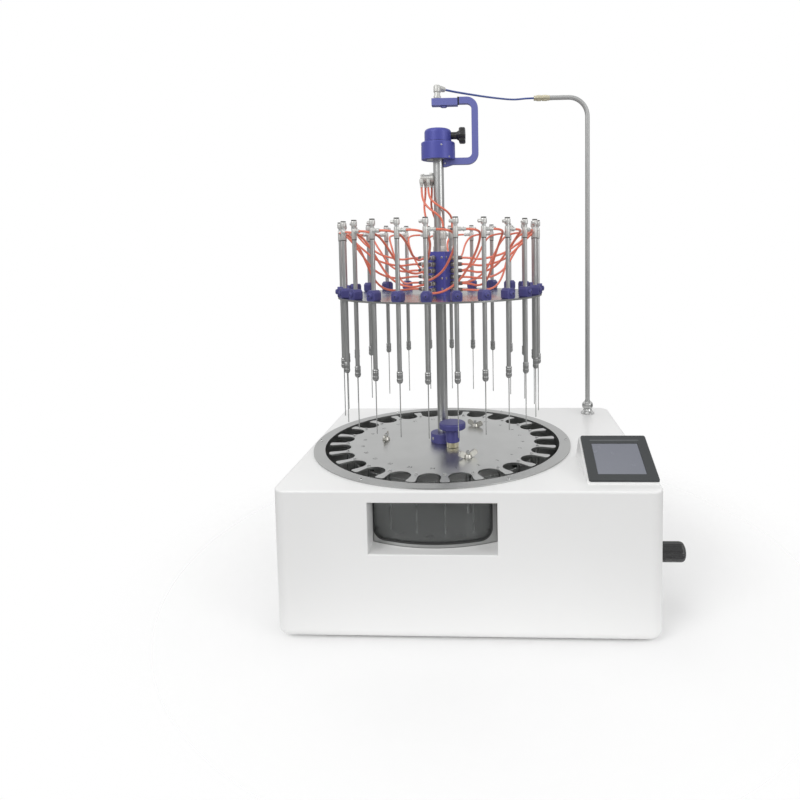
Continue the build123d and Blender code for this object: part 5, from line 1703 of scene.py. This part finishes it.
class EVAPORATOR_OT_needles(bpy.types.Operator):
    """Fit the 24 needle holders with their valves, couplers and needles"""

    bl_idname = "evaporator.needles"
    bl_label = "Needle holders"

    nipple_height, knob_height = 520.0, 530.6

    def holder(self, name):
        """One holder's shape, with z along its tube and y towards its nipple.

        Its heights are in millimetres above the bench.
        """
        holder = Shape(name)
        holder.turned(mm([(0, 246.6), (0.45, 246.0), (0.7, 246.4), (0.7, 318.6), (0, 318.6)]),
                      "cannula_steel", identity, 12)
        coupler = [(0, 318.3), (1.6, 318.3), (2.9, 318.9), (3.9, 320.6), (4.15, 322.2),
                   (4.15, 324.6), (3.75, 325.0), (3.75, 325.7), (4.0, 326.0), (4.0, 330.6),
                   (3.75, 330.9), (3.75, 331.6), (4.15, 332.0), (4.15, 333.2), (3.4, 334.6),
                   (0, 334.6)]
        holder.turned(eased(mm(coupler), 0.0002, 2), "coupler_steel", identity, 28)
        holder.turned(mm([(0, 334.2), (3.0, 334.4), (3.0, 509.2), (0, 509.2)]), "holder_steel",
                      identity, 28)
        holder.turned(eased(mm([(0, 508.2), (3.3, 508.2), (3.3, 509.6), (0, 509.6)]), 0.0002),
                      "cap_dark", identity, 24)
        holder.turned(eased(mm([(0, 509.5), (3.6, 509.5), (3.6, 523.6), (3.1, 524.0), (0, 524.0)]),
                            0.0003), "valve_nickel", identity, 28)
        side = along((0, 1, 0), (0, 0, mm(self.nipple_height)))
        holder.turned(eased(mm([(0, 2.6), (3.25, 2.6), (3.25, 7.6), (0, 7.6)]), 0.0004),
                      "valve_nickel", side, 24, shape=hexed)
        holder.turned(eased(mm([(0, 7.4), (2.1, 7.4), (2.1, 9.4), (3.1, 9.8), (3.1, 11.4),
                                (2.2, 11.8), (2.2, 13.7), (0, 13.7)]), 0.0003), "valve_nickel",
                      side, 24)
        holder.turned(mm([(0, 523.8), (2.6, 523.8), (2.6, 526.9), (0, 526.9)]), "holder_steel",
                      identity, 24)
        holder.turned(eased(mm([(0, 526.6), (3.3, 526.6), (4.2, 528.0), (4.2, 533.4), (3.5, 534.5),
                                (0, 534.5)]), 0.0009, 4), "valve_nickel", identity, 32)
        knob = along((0, -1, 0), (0, 0, mm(self.knob_height)))
        holder.turned(eased(mm([(0, 3.2), (2.0, 3.2), (2.0, 4.6), (2.4, 5.0), (2.4, 7.8),
                                (1.7, 8.4), (0, 8.4)]), 0.0003), "valve_nickel", knob, 24)
        # black block: painted shade of the knob's slot
        holder.block(mm((3.0, 0.4, 0.4)), "shade_and_joint_black",
                     knob @ Matrix.Translation((0, 0, mm(8.25))), edge=0.00005, segments=1)
        holder.turned(eased(mm([(0, 534.3), (3.4, 534.3), (3.4, 534.8), (3.75, 534.9),
                                (3.75, 535.7), (3.4, 536.0), (0, 536.0)]), 0.0002), "cap_dark",
                      identity, 60, shape=fluted(20, 0.05))
        return holder

    def execute(self, context):
        master = self.holder("needle_master").mesh_object(35.0)
        for index in range(place_count):
            name = f"needle_{index + 1:02d}"
            piece = bpy.data.objects.new(f"gas_{name}", master.data)
            piece.matrix_world = about(place_angle(index), sizes().needle_circle)
            context.scene.collection.objects.link(piece)
            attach(piece, name)
            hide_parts(name)
        bpy.data.objects.remove(master)
        return {"FINISHED"}


class EVAPORATOR_OT_stage(bpy.types.Operator):
    """Lay the pale floor and set soft studio light"""

    bl_idname = "evaporator.stage"
    bl_label = "Floor and light"

    floor_radius, fade_start, fade_end = 0.65, 0.24, 0.60
    # height in the surroundings from 0 at the bottom to 1 at the top, and brightness there
    sky_stops = ((0.30, 0.40), (0.98, 0.35), (0.44, 0.14), (0.50, 0.30), (0.56, 0.45),
                 (0.62, 0.90), (0.80, 1.0), (0.88, 0.50))

    def floor(self):
        """Pale floor that fades into the surroundings."""
        material, tree, shader, place = new_material("floor_pale")
        tone = noise(tree, place, 6.0, 2.0)
        socket(shader, "Base Color", blended(tree, tone, (0.94, 0.94, 0.94), (0.97, 0.97, 0.97)))
        reach = node(tree, "ShaderNodeVectorMath", {"operation": "LENGTH"}, {0: place}).outputs[1]
        fade = node(tree, "ShaderNodeMapRange", {"interpolation_type": "SMOOTHSTEP"},
                    {"Value": reach, "From Min": self.fade_start, "From Max": self.fade_end,
                     "To Min": 1.0, "To Max": 0.0})
        socket(shader, "Alpha", fade.outputs[0])
        shader.inputs["Roughness"].default_value = 0.85
        data = bpy.data.meshes.new("floor")
        form = bmesh.new()
        bmesh.ops.create_circle(form, cap_ends=True, segments=96, radius=self.floor_radius)
        form.to_mesh(data)
        form.free()
        data.materials.append(material)
        floor = bpy.data.objects.new("floor", data)
        bpy.context.scene.collection.objects.link(floor)

    def lamp(self, name, place, target, size, power):
        """A soft square light that looks at a target."""
        data = bpy.data.lights.new(name, "AREA")
        data.shape = "RECTANGLE"
        data.size, data.size_y = size
        data.energy = power
        lamp = bpy.data.objects.new(name, data)
        lamp.location = place
        aim = Vector(target) - Vector(place)
        lamp.rotation_euler = aim.to_track_quat("-Z", "Y").to_euler()
        bpy.context.scene.collection.objects.link(lamp)

    def sky(self, strength):
        """White surroundings that are darker low down, so that metal has contrast."""
        world = bpy.data.worlds.new("studio")
        bpy.context.scene.world = world
        world.use_nodes = True
        tree = world.node_tree
        tree.nodes.clear()
        direction = node(tree, "ShaderNodeTexCoord").outputs["Generated"]
        height = node(tree, "ShaderNodeSeparateXYZ", None, {0: direction}).outputs[2]
        ramp = node(tree, "ShaderNodeValToRGB")
        socket(ramp, 0, maths(tree, "MULTIPLY_ADD", height, 0.5, 0.5))
        stops = ramp.color_ramp.elements
        for index, (position, level) in enumerate(self.sky_stops):
            stop = stops[index] if index < 2 else stops.new(position)
            stop.position, stop.color = position, (level, level, level, 1)
        lit = node(tree, "ShaderNodeBackground", None,
                   {"Color": ramp.outputs[0], "Strength": strength})
        seen = node(tree, "ShaderNodeBackground", None,
                    {"Color": (1.0, 1.0, 1.0), "Strength": 1.0})
        chosen = node(tree, "ShaderNodeMixShader")
        rays = node(tree, "ShaderNodeLightPath").outputs["Is Camera Ray"]
        socket(chosen, 0, rays)
        socket(chosen, 1, lit.outputs[0])
        socket(chosen, 2, seen.outputs[0])
        output = node(tree, "ShaderNodeOutputWorld")
        tree.links.new(chosen.outputs[0], output.inputs[0])

    def execute(self, context):
        stage = context.scene.evaporator_stage
        if stage.show_floor:
            self.floor()
        self.sky(stage.sky)
        self.lamp("key", (-1.3, -1.7, 1.7), (0, 0, 0.25), (1.2, 1.2), stage.key)
        self.lamp("fill", (1.7, -1.3, 1.0), (0, 0, 0.3), (0.8, 1.2), stage.key * 0.5)
        self.lamp("top", (0.0, 0.2, 2.3), (0, 0, 0.2), (1.4, 1.4), stage.key * 0.4)
        context.scene.view_settings.view_transform = "Standard"
        return {"FINISHED"}


class EVAPORATOR_PT_panel(bpy.types.Panel):
    """Lists the evaporator's sizes, colours and building steps"""

    bl_idname = "EVAPORATOR_PT_panel"
    bl_label = "Evaporator"
    bl_space_type = "VIEW_3D"
    bl_region_type = "UI"
    bl_category = "Evaporator"

    def draw(self, context):
        layout = self.layout
        for group in (context.scene.evaporator_sizes, context.scene.evaporator_colours,
                      context.scene.evaporator_stage):
            box = layout.box()
            for name in group.bl_rna.properties.keys():
                if name not in {"rna_type", "name"}:
                    box.prop(group, name)
        for operator in build_steps:
            layout.operator(operator.bl_idname)


build_steps = (
    EVAPORATOR_OT_camera, EVAPORATOR_OT_hoses, EVAPORATOR_OT_housing, EVAPORATOR_OT_bath,
    EVAPORATOR_OT_console, EVAPORATOR_OT_rear_fittings, EVAPORATOR_OT_drain,
    EVAPORATOR_OT_supply_pipe, EVAPORATOR_OT_swivel_elbow, EVAPORATOR_OT_rack,
    EVAPORATOR_OT_hub, EVAPORATOR_OT_column, EVAPORATOR_OT_head, EVAPORATOR_OT_gas_arm,
    EVAPORATOR_OT_distributor, EVAPORATOR_OT_disc, EVAPORATOR_OT_manifold,
    EVAPORATOR_OT_clamps, EVAPORATOR_OT_needles, EVAPORATOR_OT_stage)
property_groups = {"evaporator_sizes": EvaporatorSizes, "evaporator_colours": EvaporatorColours,
                   "evaporator_stage": EvaporatorStage}


def register():
    """Adds the settings, the operators and the panel."""
    for kind in (*property_groups.values(), *build_steps, EVAPORATOR_PT_panel):
        bpy.utils.register_class(kind)
    for name, kind in property_groups.items():
        setattr(bpy.types.Scene, name, PointerProperty(type=kind))


def unregister():
    """Takes them away again."""
    for name in property_groups:
        delattr(bpy.types.Scene, name)
    for kind in (EVAPORATOR_PT_panel, *reversed(build_steps), *property_groups.values()):
        bpy.utils.unregister_class(kind)


def main():
    """Builds the scene."""
    register()
    for operator in build_steps:
        name = operator.bl_idname.split(".")[1]
        getattr(bpy.ops.evaporator, name)()


if __name__ == "__main__":
    main()
